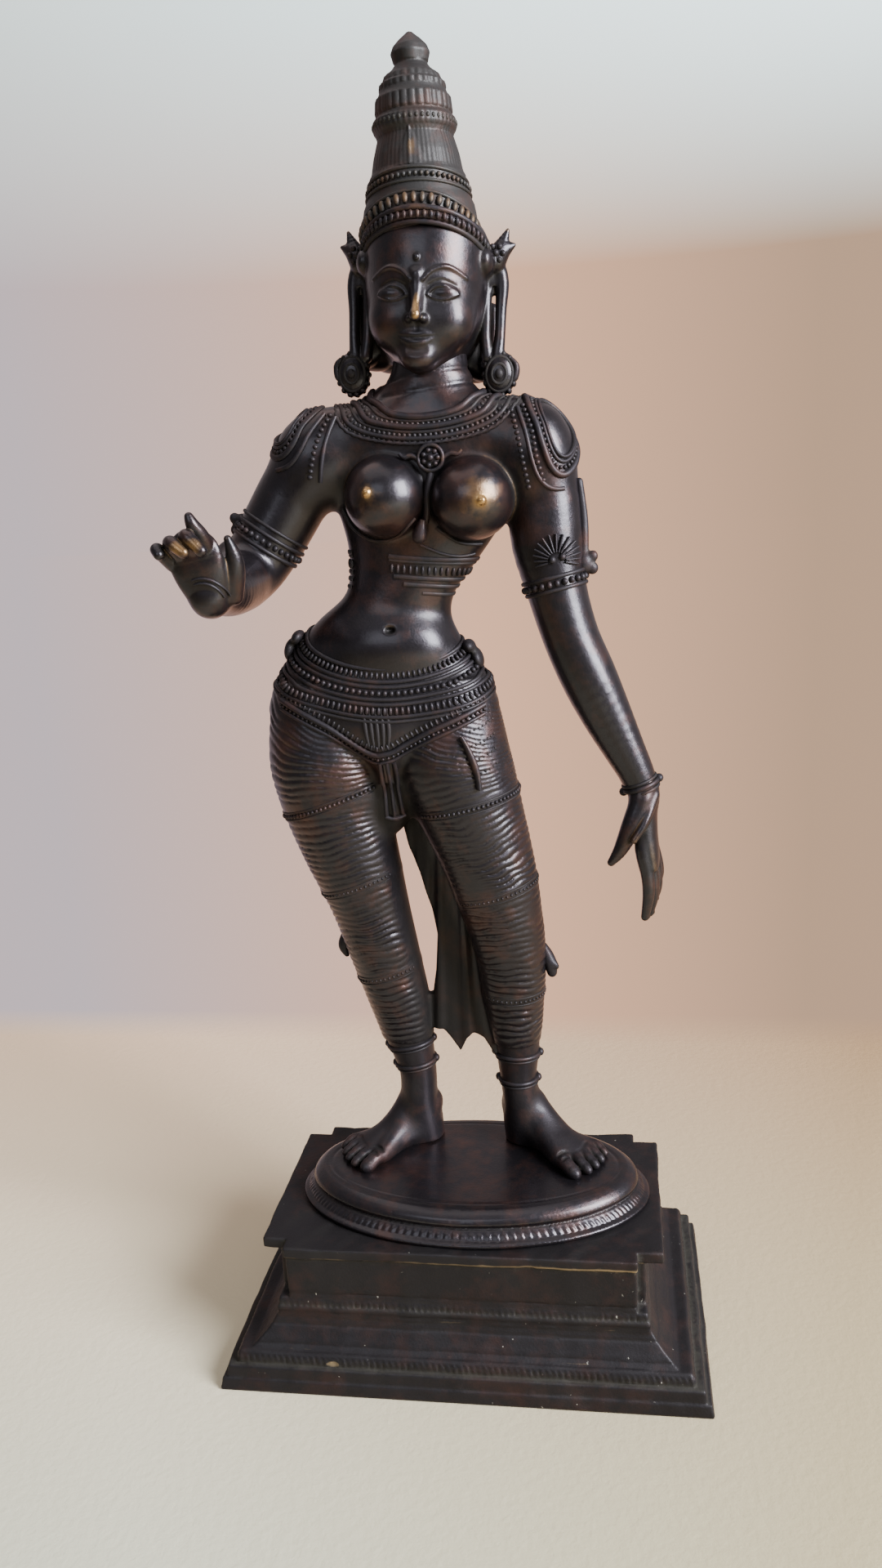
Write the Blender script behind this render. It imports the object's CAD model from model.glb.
"""Dark bronze goddess on an oval lotus pedestal and a stepped plinth, in a plain studio.

The bodies are sculpted as signed distances on fine grids, in millimetres, and meshed. Jewellery is laid on
those surfaces as cords and beads. Every mesh is written in metres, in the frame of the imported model.
"""

import logging
import math
from dataclasses import dataclass, field
from enum import Enum
from itertools import combinations
from typing import Callable, Optional, Sequence, Union

import bmesh
import bpy
import numpy as np
from mathutils import Matrix, Vector


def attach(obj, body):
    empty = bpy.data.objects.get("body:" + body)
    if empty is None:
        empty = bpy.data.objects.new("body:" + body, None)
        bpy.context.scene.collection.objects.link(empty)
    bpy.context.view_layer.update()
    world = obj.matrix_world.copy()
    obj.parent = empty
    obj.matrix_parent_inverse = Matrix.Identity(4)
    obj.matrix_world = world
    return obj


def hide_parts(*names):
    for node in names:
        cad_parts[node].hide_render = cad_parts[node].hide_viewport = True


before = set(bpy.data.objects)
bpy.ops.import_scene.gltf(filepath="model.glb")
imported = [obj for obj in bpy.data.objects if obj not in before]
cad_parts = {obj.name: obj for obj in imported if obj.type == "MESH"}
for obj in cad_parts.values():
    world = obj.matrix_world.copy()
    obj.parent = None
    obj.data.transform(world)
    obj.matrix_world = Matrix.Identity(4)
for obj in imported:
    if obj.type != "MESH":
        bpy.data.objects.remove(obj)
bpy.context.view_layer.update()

Array = np.ndarray
Field = Callable[..., Array]
Place = tuple[float, float, float]
Colour = tuple[float, float, float]
Rows = Sequence[Sequence[float]]

LOG = logging.getLogger("goddess")
TAU = 2 * math.pi
MM = 0.001
FAR = 30.0
REACH = 7.0
CAST_STEP = 0.25
TRACE_STEP = 0.8
CORNERS = [np.array([number >> 2 & 1, number >> 1 & 1, number & 1]) for number in range(8)]


# Smooth curves.


def through(stops: Rows, count: int, closed: bool = False) -> Array:
    """Points along a smooth curve through stops.

    Args:
        stops: rows of any number of columns.
        count: how many points to return.
        closed: whether the curve returns to its first stop.

    Returns:
        One row for each point.
    """
    knots = np.asarray(stops, float)
    last = len(knots) if closed else len(knots) - 1
    place = np.linspace(0, last, count, endpoint=not closed)
    index = np.minimum(place.astype(int), last - 1)
    t = (place - index)[:, None]
    wanted = [index + shift for shift in (-1, 0, 1, 2)]
    a, b, c, d = (knots[w % len(knots) if closed else np.clip(w, 0, len(knots) - 1)] for w in wanted)
    cubic = (2 * a - 5 * b + 4 * c - d) * t**2 + (-a + 3 * b - 3 * c + d) * t**3
    return 0.5 * (2 * b + (c - a) * t + cubic)


def evenly(points: Array, spacing: float, closed: bool = False) -> Array:
    """Points moved along their own line to equal spacing.

    Args:
        points: places along a line.
        spacing: distance wanted between neighbours.
        closed: whether the line returns to its first point.

    Returns:
        New places on the same line.
    """
    line = np.vstack([points, points[:1]]) if closed else points
    length = np.concatenate([[0], np.cumsum(np.linalg.norm(np.diff(line[:, :3], axis=0), axis=1))])
    count = max(3, int(round(length[-1] / spacing)) + (0 if closed else 1))
    at = np.linspace(0, length[-1], count, endpoint=not closed)
    return np.stack([np.interp(at, length, column) for column in line.T], axis=1)


def rows_at(rows: Rows, heights: Array) -> Array:
    """Every column of rows at given heights, along smooth curves.

    Args:
        rows: rows whose first column is a height, in either order.
        heights: heights wanted.

    Returns:
        Array of columns by heights, without the first column.
    """
    table = np.asarray(rows, float)
    table = table[np.argsort(table[:, 0])]
    top = len(table) - 1
    index = np.clip(np.searchsorted(table[:, 0], heights) - 1, 0, top - 1)
    low, high = table[index], table[index + 1]
    before, after = table[np.maximum(index - 1, 0)], table[np.minimum(index + 2, top)]
    rise = high - low
    span = rise[:, :1]
    t = np.clip((np.asarray(heights, float)[:, None] - low[:, :1]) / span, 0, 1)
    start = (high - before) / (high[:, :1] - before[:, :1])
    end = (after - low) / (after[:, :1] - low[:, :1])
    c2 = 3 * rise - span * (2 * start + end)
    c3 = span * (start + end) - 2 * rise
    return (low + t * (span * start + t * (c2 + t * c3))).T[1:]


def ripple(x: Array, y: Array, z: Array, wavelength: float, seed: int) -> Array:
    """Smooth irregular value of about -1 to 1.

    Args:
        x: places across.
        y: places in depth.
        z: heights.
        wavelength: distance over which it varies, in millimetres.
        seed: which of many such fields.

    Returns:
        One value for each place.
    """
    dice = np.random.default_rng(seed)
    waves = 6
    total = np.zeros(np.broadcast_shapes(np.shape(x), np.shape(y), np.shape(z)), np.float32)
    for _ in range(waves):
        way = dice.normal(size=3)
        way *= TAU * dice.uniform(0.6, 1.5) / (wavelength * np.linalg.norm(way))
        total += np.sin(x * way[0] + y * way[1] + z * way[2] + dice.uniform(0, TAU)).astype(np.float32)
    return total / math.sqrt(waves)


def unit(vectors: Array) -> Array:
    """Vectors of length one."""
    return vectors / np.maximum(np.linalg.norm(vectors, axis=-1, keepdims=True), 1e-9)


def bell(values: Array, middle: float, width: float, power: int = 2) -> Array:
    """1 at the middle, falling to nothing a little beyond the width."""
    return np.exp(-(((values - middle) / width) ** power))


def spots(places: Array, marks: Sequence[tuple]) -> Array:
    """Soft round spots; each mark is its middle, its radius or radii and its strength.

    Args:
        places: points, in millimetres.
        marks: the middle, radius or radii and strength of each.

    Returns:
        One value for each place.
    """
    return sum(
        amount * bell(np.linalg.norm((places - np.array(middle)) / np.array(radius), axis=1), 0, 1)
        for middle, radius, amount in marks
    )


def ring(middle: Place, radii: tuple[float, float], count: int) -> list[Place]:
    """Places around an upright ring that is so far across in X and in Z.

    Args:
        middle: its centre.
        radii: how far out it is in X and in Z.
        count: how many places.

    Returns:
        The places.
    """
    x, y, z = middle
    turns = TAU * np.arange(count) / count
    return [(x + radii[0] * math.cos(turn), y, z + radii[1] * math.sin(turn)) for turn in turns]


# Solids as distances, negative inside.


class Form:
    """A solid that knows how far any place is from its surface."""

    def box(self) -> tuple[Array, Array]:
        """Lowest and highest corners."""
        raise NotImplementedError

    def distance(self, x: Array, y: Array, z: Array) -> Array:
        """Distance at places given by three arrays that broadcast together."""
        raise NotImplementedError


@dataclass
class Ball(Form):
    """Ball stretched along its own axes, and turned by angles in degrees about X, Y and Z."""

    middle: Place
    radii: Place
    turn: Place = (0, 0, 0)

    def axes(self) -> Array:
        """Its three axes as the columns of a matrix."""
        a, b, c = (math.radians(angle) for angle in self.turn)
        return np.array(Matrix.Rotation(c, 3, "Z") @ Matrix.Rotation(b, 3, "Y") @ Matrix.Rotation(a, 3, "X"))

    def box(self) -> tuple[Array, Array]:
        """Lowest and highest corners."""
        half = np.abs(self.axes()) @ np.array(self.radii)
        return np.array(self.middle) - half, np.array(self.middle) + half

    def distance(self, x: Array, y: Array, z: Array) -> Array:
        """Distance at the places, exact near the surface.

        Args:
            x: places across.
            y: places in depth.
            z: heights.

        Returns:
            Distance at each place.
        """
        axes = self.axes()
        dx, dy, dz = x - self.middle[0], y - self.middle[1], z - self.middle[2]
        near, far = 0.0, 0.0
        for column, radius in enumerate(self.radii):
            along = dx * axes[0, column] + dy * axes[1, column] + dz * axes[2, column]
            near = near + (along / radius) ** 2
            far = far + (along / radius**2) ** 2
        near, far = np.sqrt(near), np.sqrt(far)
        return near * (near - 1) / np.maximum(far, 1e-6)


@dataclass
class Limb(Form):
    """Round-ended body along a smooth path; each stop is X, Y, Z, half width and half depth."""

    stops: Rows
    count: int = 24

    def path(self) -> Array:
        """Places and half sizes along it."""
        return through([list(stop) + [stop[3]] * (5 - len(stop)) for stop in self.stops], self.count)

    def box(self) -> tuple[Array, Array]:
        """Lowest and highest corners.

        Returns:
            The two corners.
        """
        path = self.path()
        most = path[:, 3:].max(axis=1, keepdims=True)
        return (path[:, :3] - most).min(axis=0), (path[:, :3] + most).max(axis=0)

    def distance(self, x: Array, y: Array, z: Array) -> Array:
        """Distance at the places, piece by piece along the path.

        Args:
            x: places across.
            y: places in depth.
            z: heights.

        Returns:
            Distance at each place.
        """
        out = np.full(np.broadcast_shapes(x.shape, y.shape, z.shape), FAR, np.float32)
        path = self.path()
        for a, b in zip(path[:-1], path[1:]):
            reach = max(a[3:].max(), b[3:].max()) + REACH
            spans = []
            for axis, places in enumerate((x, y, z)):
                low, high = min(a[axis], b[axis]) - reach, max(a[axis], b[axis]) + reach
                spans.append(slice(*(int(end) for end in np.searchsorted(places.ravel(), [low, high]))))
            part = out[tuple(spans)]
            if part.size == 0:
                continue
            px, py, pz = x[spans[0]] - a[0], y[:, spans[1]] - a[1], z[:, :, spans[2]] - a[2]
            line = b[:3] - a[:3]
            squared = max(float(line @ line), 1e-9)
            t = np.clip((px * line[0] + py * line[1] + pz * line[2]) / squared, 0, 1)
            across = a[3] + (b[3] - a[3]) * t
            ratio = across / (a[4] + (b[4] - a[4]) * t)
            wx, wy, wz = px - line[0] * t, (py - line[1] * t) * ratio, pz - line[2] * t
            np.minimum(part, np.sqrt(wx**2 + wy**2 + wz**2) - across, out=part)
        return out


@dataclass
class Column(Form):
    """Upright body of level oval sections; rows are height, X, half width, Y, half depths front and back."""

    rows: Rows
    relief: Optional[Field] = None
    crisp: bool = False

    def sections(self, heights: Array) -> Array:
        """Every column at the heights, along straight lines where the body is crisp.

        Args:
            heights: heights wanted.

        Returns:
            Array of columns by heights.
        """
        if not self.crisp:
            return rows_at(self.rows, heights)
        table = np.asarray(self.rows, float)
        return np.stack([np.interp(heights, table[:, 0], column) for column in table.T[1:]])

    def box(self) -> tuple[Array, Array]:
        """Lowest and highest corners.

        Returns:
            The two corners.
        """
        z, x, half, y, front, back = np.asarray(self.rows, float).T
        low = [(x - half).min(), (y - front).min(), z.min()]
        return np.array(low), np.array([(x + half).max(), (y + back).max(), z.max()])

    def distance(self, x: Array, y: Array, z: Array) -> Array:
        """Distance at the places, less the relief there.

        Args:
            x: places across.
            y: places in depth.
            z: heights.

        Returns:
            Distance at each place.
        """
        middle, half, deep, front, back = (row[None, None, :] for row in self.sections(z.ravel()))
        dx, dy = x - middle, y - deep
        depth = np.where(dy < 0, front, back)
        near = np.sqrt((dx / half) ** 2 + (dy / depth) ** 2)
        far = np.sqrt((dx / half**2) ** 2 + (dy / depth**2) ** 2)
        out = near * (near - 1) / np.maximum(far, 1e-6)
        if self.relief is not None:
            out = out - self.relief(dx, dy, z)
        heights = [row[0] for row in self.rows]
        return np.maximum(out, np.maximum(min(heights) - z, z - max(heights)))


@dataclass
class Block(Form):
    """Rounded block that may lean in from its foot to its head, as half sizes there."""

    low: float
    high: float
    foot: tuple[float, float]
    head: Optional[tuple[float, float]] = None
    rounding: float = 0.5
    hollow: float = 0.0

    def box(self) -> tuple[Array, Array]:
        """Lowest and highest corners."""
        return np.array([-self.foot[0], -self.foot[1], self.low]), np.array([*self.foot, self.high])

    def distance(self, x: Array, y: Array, z: Array) -> Array:
        """Distance at the places.

        Args:
            x: places across.
            y: places in depth.
            z: heights.

        Returns:
            Distance at each place.
        """
        t = np.clip((z - self.low) / (self.high - self.low), 0, 1)
        t = t + self.hollow * np.sin(math.pi * t)
        outs = [
            np.abs(place) - foot + (foot - top) * t + self.rounding
            for place, foot, top in zip((x, y), self.foot, self.head or self.foot)
        ]
        middle, half = (self.low + self.high) / 2, (self.high - self.low) / 2
        outs.append(np.abs(z - middle) - half + self.rounding)
        outside = np.sqrt(sum(np.maximum(out, 0) ** 2 for out in outs))
        inside = np.minimum(np.maximum(np.maximum(outs[0], outs[1]), outs[2]), 0)
        return outside + inside - self.rounding


@dataclass
class Sheet(Form):
    """Upright sheet with an outline in X and Z, between two depths that wave with its folds."""

    outline: Rows
    front: float
    back: float
    folds: Field
    rounding: float = 0.5

    def box(self) -> tuple[Array, Array]:
        """Lowest and highest corners."""
        low, high = np.min(self.outline, axis=0), np.max(self.outline, axis=0)
        return np.array([low[0], self.front - 2, low[1]]), np.array([high[0], self.back + 2, high[1]])

    def distance(self, x: Array, y: Array, z: Array) -> Array:
        """Distance at the places, from the outline and from the two sides.

        Args:
            x: places across.
            y: places in depth.
            z: heights.

        Returns:
            Distance at each place.
        """
        corners = np.asarray(self.outline, float)
        flat = np.full((x.shape[0], 1, z.shape[2]), FAR, np.float32)
        inside = np.zeros(flat.shape, bool)
        for (ax, az), (bx, bz) in zip(corners, np.roll(corners, -1, axis=0)):
            ex, ez = bx - ax, bz - az
            t = np.clip(((x - ax) * ex + (z - az) * ez) / (ex * ex + ez * ez), 0, 1)
            flat = np.minimum(flat, np.hypot(x - ax - ex * t, z - az - ez * t))
            if abs(ez) > 1e-9:
                inside ^= ((az > z) != (bz > z)) & (x < ex * (z - az) / ez + ax)
        flat = np.where(inside, -flat, flat) + self.rounding
        middle, half = (self.front + self.back) / 2, (self.back - self.front) / 2 - self.rounding
        deep = np.abs(y - middle - self.folds(x, z)) - half
        outside = np.hypot(np.maximum(flat, 0), np.maximum(deep, 0))
        return outside + np.minimum(np.maximum(flat, deep), 0) - self.rounding


class Clay:
    """A sculpture as distances on a regular grid, in millimetres."""

    def __init__(self, low: Place, high: Place, step: float) -> None:
        """Empty space between two corners.

        Args:
            low: lowest corner.
            high: highest corner.
        """
        self.step = step * 1.0
        self.low = np.array(low, float)
        counts = np.ceil((np.array(high, float) - self.low) / self.step).astype(int) + 1
        self.axes = [self.low[axis] + self.step * np.arange(counts[axis]) for axis in range(3)]
        self.values = np.full(counts, FAR, np.float32)

    def window(self, low: Rows, high: Rows, margin: float = 0.0) -> tuple[tuple, list[Array]]:
        """Part of the grid around a box.

        Args:
            low: lowest corner of the box.
            high: highest corner.
            margin: how far beyond them to go.

        Returns:
            Slices of the grid, and three arrays of places that broadcast together.
        """
        spans, places = [], []
        for axis, marks in enumerate(self.axes):
            start, stop = np.searchsorted(marks, [low[axis] - margin, high[axis] + margin])
            spans.append(slice(int(start), int(stop)))
            places.append(self.spread(marks[spans[axis]], axis))
        return tuple(spans), places

    @staticmethod
    def spread(marks: Array, axis: int) -> Array:
        """Marks of one axis in the shape that broadcasts over the grid."""
        return marks.astype(np.float32).reshape(np.where(np.arange(3) == axis, -1, 1))

    def blend(self, form: Form, soft: float, side: int) -> "Clay":
        """Joins a form on or takes it away.

        Args:
            form: the solid.
            soft: size of the fillet or rounding along the seam.
            side: 1 to join and -1 to take away.

        Returns:
            This clay.
        """
        spans, places = self.window(*form.box(), REACH)
        here = side * self.values[spans]
        if here.size:
            there = form.distance(*places).astype(np.float32)
            merged = np.minimum(here, there)
            if soft > 0:
                share = np.clip(0.5 + 0.5 * (there - here) / soft, 0, 1)
                merged = there + (here - there) * share - soft * share * (1 - share)
            self.values[spans] = side * merged
        return self

    def add(self, form: Form, soft: float = 0.0) -> "Clay":
        """Joins a form on, with a fillet of about the softness."""
        return self.blend(form, soft, 1)

    def cut(self, form: Form, soft: float = 0.0) -> "Clay":
        """Takes a form away, with a rounding of about the softness."""
        return self.blend(form, soft, -1)

    def raise_by(self, height: Field, low: Place, high: Place) -> None:
        """Moves the surface outwards by a height that varies from place to place, within a box."""
        spans, places = self.window(low, high)
        self.values[spans] -= height(*places).astype(np.float32)

    def trim(self, axis: int, limit: float, keep_above: bool) -> None:
        """Takes away all on one side of a plane square to an axis."""
        places = self.spread(self.axes[axis], axis)
        self.values = np.maximum(self.values, (limit - places) if keep_above else (places - limit))

    def sample(self, points: Array) -> Array:
        """Distance at any places, between the points of the grid.

        Args:
            points: the places.

        Returns:
            One distance for each.
        """
        place = np.clip((points - self.low) / self.step, 0, np.array(self.values.shape) - 1.001)
        base = place.astype(int)
        t = place - base
        total = np.zeros(len(points))
        for corner in CORNERS:
            weight = np.prod(np.where(corner, t, 1 - t), axis=1)
            total += weight * self.values[tuple((base + corner).T)]
        return total

    def outward(self, points: Array, span: Optional[float] = None) -> Array:
        """Direction straight out of the surface at any places.

        Args:
            points: the places.
            span: how far apart the slope is measured.

        Returns:
            One direction for each.
        """
        shifts = np.eye(3) * (span or self.step)
        slope = [self.sample(points + shift) - self.sample(points - shift) for shift in shifts]
        return unit(np.stack(slope, axis=1))

    def cast(self, origins: Array, directions: Array, reach: float) -> Array:
        """First places where lines from outside meet the surface.

        Args:
            origins: where each line starts.
            directions: which way each goes.
            reach: how far they go.

        Returns:
            The places met; a line that misses ends at its full reach.
        """
        along = np.arange(0, reach, CAST_STEP)
        ways = unit(directions)
        places = origins[:, None, :] + ways[:, None, :] * along[None, :, None]
        depth = self.sample(places.reshape(-1, 3)).reshape(len(origins), -1)
        inside = depth < 0
        first = np.where(inside.any(axis=1), inside.argmax(axis=1), len(along) - 1)
        row = np.arange(len(origins))
        before, after = depth[row, np.maximum(first - 1, 0)], depth[row, first]
        share = np.clip(before / np.maximum(before - after, 1e-6), 0, 1)
        distance = along[np.maximum(first - 1, 0)] + share * CAST_STEP
        return origins + ways * distance[:, None]

    def settle(self, points: Array) -> Array:
        """Nearest places on the surface.

        Args:
            points: places near the surface.

        Returns:
            The places on it.
        """
        passes, share, longest = 8, 0.8, 2.0
        places = points.copy()
        for _ in range(passes):
            away = np.clip(self.sample(places), -longest, longest)
            places -= share * away[:, None] * self.outward(places)
        return places

    def skin(self) -> tuple[Array, Array]:
        """The surface as points, one in each cell that it crosses, and four-sided faces.

        Returns:
            Places of the points, and the four points of each face.
        """
        values = self.values
        values[[0, -1]] = FAR
        values[:, [0, -1]] = FAR
        values[:, :, [0, -1]] = FAR
        inside = values < 0
        shape = np.array(values.shape) - 1
        count = np.zeros(shape, np.int8)
        for i, j, k in CORNERS:
            count += inside[i : i + shape[0], j : j + shape[1], k : k + shape[2]]
        cells = np.argwhere((count > 0) & (count < 8))
        number = np.full(shape, -1, np.int32)
        number[tuple(cells.T)] = np.arange(len(cells))
        total, hits = np.zeros((len(cells), 3)), np.zeros(len(cells))
        for near in CORNERS:
            for axis in np.flatnonzero(near == 0):
                edge = np.eye(3, dtype=int)[axis]
                va, vb = (values[tuple((cells + end).T)] for end in (near, near + edge))
                crossing = (va < 0) != (vb < 0)
                t = np.where(crossing, va / np.where(crossing, va - vb, 1), 0)
                total += (near + edge * t[:, None]) * crossing[:, None]
                hits += crossing
        points = self.low + (cells + total / hits[:, None]) * self.step
        faces = []
        for axis in range(3):
            edges = np.argwhere(inside != np.roll(inside, -1, axis))
            edges = edges[(edges > 0).all(axis=1) & (edges < shape).all(axis=1)]
            one, two = np.eye(3, dtype=int)[[(axis + 1) % 3, (axis + 2) % 3]]
            ring = [number[tuple((edges - shift).T)] for shift in (0 * one, one, one + two, two)]
            quad = np.stack(ring, axis=1)
            turned = ~inside[tuple(edges.T)]
            quad[turned] = quad[turned][:, ::-1]
            faces.append(quad)
        away = np.clip(self.sample(points), -self.step, self.step)
        return points - 0.9 * away[:, None] * self.outward(points), np.vstack(faces)


# Meshes.


class Shell:
    """Points and faces gathered for one mesh, in millimetres."""

    def __init__(self) -> None:
        """Nothing yet."""
        self.points: list[Array] = []
        self.faces: list[Array] = []
        self.count = 0

    def put(self, points: Array, faces: Array) -> "Shell":
        """Adds points, and faces that count from the first of them.

        Args:
            points: places, in millimetres.
            faces: numbers of the points of each face.

        Returns:
            This shell.
        """
        self.points.append(np.asarray(points, float))
        self.faces.append(np.asarray(faces, int) + self.count)
        self.count += len(points)
        return self

    def tube(self, rings: Array, looped: bool = False) -> None:
        """Adds a surface through equal closed rings of points.

        Args:
            rings: array of rings by points by three.
            looped: whether the last ring joins the first; otherwise both ends are capped.
        """
        many, sides = rings.shape[:2]
        index = np.arange(many * sides).reshape(many, sides)
        down = np.roll(index, -1, axis=0) if looped else index[1:]
        here = index if looped else index[:-1]
        quads = np.stack([here, np.roll(here, -1, 1), np.roll(down, -1, 1), down], axis=-1)
        self.put(rings.reshape(-1, 3), quads.reshape(-1, 4))
        if looped:
            return
        order = np.arange(sides)
        for rim, turn in ((rings[0], -1), (rings[-1], 1)):
            pair = np.stack([order, np.roll(order, -1)], axis=1)[:, ::turn]
            self.put(np.vstack([rim, rim.mean(axis=0)]), np.column_stack([pair, np.full(sides, sides)]))

    def build(self, name: str) -> bpy.types.Object:
        """One object of all that was added.

        Args:
            name: what the piece is called.

        Returns:
            The object, with smooth faces.
        """
        mesh = bpy.data.meshes.new(name)
        points = np.vstack(self.points) * MM
        sizes = np.concatenate([np.full(len(part), part.shape[1]) for part in self.faces])
        loops = np.concatenate([part.ravel() for part in self.faces])
        mesh.vertices.add(len(points))
        mesh.vertices.foreach_set("co", points.astype(np.float32).ravel())
        mesh.loops.add(len(loops))
        mesh.loops.foreach_set("vertex_index", loops.astype(np.int32))
        mesh.polygons.add(len(sizes))
        starts = np.concatenate([[0], np.cumsum(sizes)[:-1]])
        mesh.polygons.foreach_set("loop_start", starts.astype(np.int32))
        mesh.polygons.foreach_set("use_smooth", np.ones(len(sizes), bool))
        mesh.update(calc_edges=True)
        mesh.validate()
        thing = bpy.data.objects.new(name, mesh)
        bpy.context.scene.collection.objects.link(thing)
        return thing


def bead_template() -> tuple[Array, Array]:
    """Points and triangles of a small ball of radius one, an icosahedron with every face cut into four.

    Returns:
        The points, and the three points of each face.
    """
    golden = (1 + math.sqrt(5)) / 2
    corners = []
    for a in (-1, 1):
        for b in (-golden, golden):
            corners += [(0, a, b), (a, b, 0), (b, 0, a)]
    places = unit(np.array(corners))
    halves = [one + two for one, two in combinations(places, 2) if np.linalg.norm(one - two) < 1.1]
    ball = bmesh.new()
    for place in (*places, *unit(np.array(halves))):
        ball.verts.new(place)
    bmesh.ops.convex_hull(ball, input=ball.verts)
    ball.verts.index_update()
    points = np.array([point.co for point in ball.verts])
    faces = np.array([[point.index for point in face.verts] for face in ball.faces])
    ball.free()
    return points, faces


BEAD_POINTS, BEAD_FACES = bead_template()


def frames_along(path: Array, outward: Array, closed: bool) -> tuple[Array, Array, Array]:
    """Directions along, out of and across a line that lies on a surface.

    Args:
        path: points of the line.
        outward: direction out of the surface at each.
        closed: whether the line returns to its first point.

    Returns:
        Three arrays of directions.
    """
    loop = np.roll(path, -1, axis=0) - np.roll(path, 1, axis=0)
    ahead = unit(loop if closed else np.gradient(path, axis=0))
    out = unit(outward - ahead * np.sum(outward * ahead, axis=1, keepdims=True))
    return ahead, out, np.cross(out, ahead)


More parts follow.
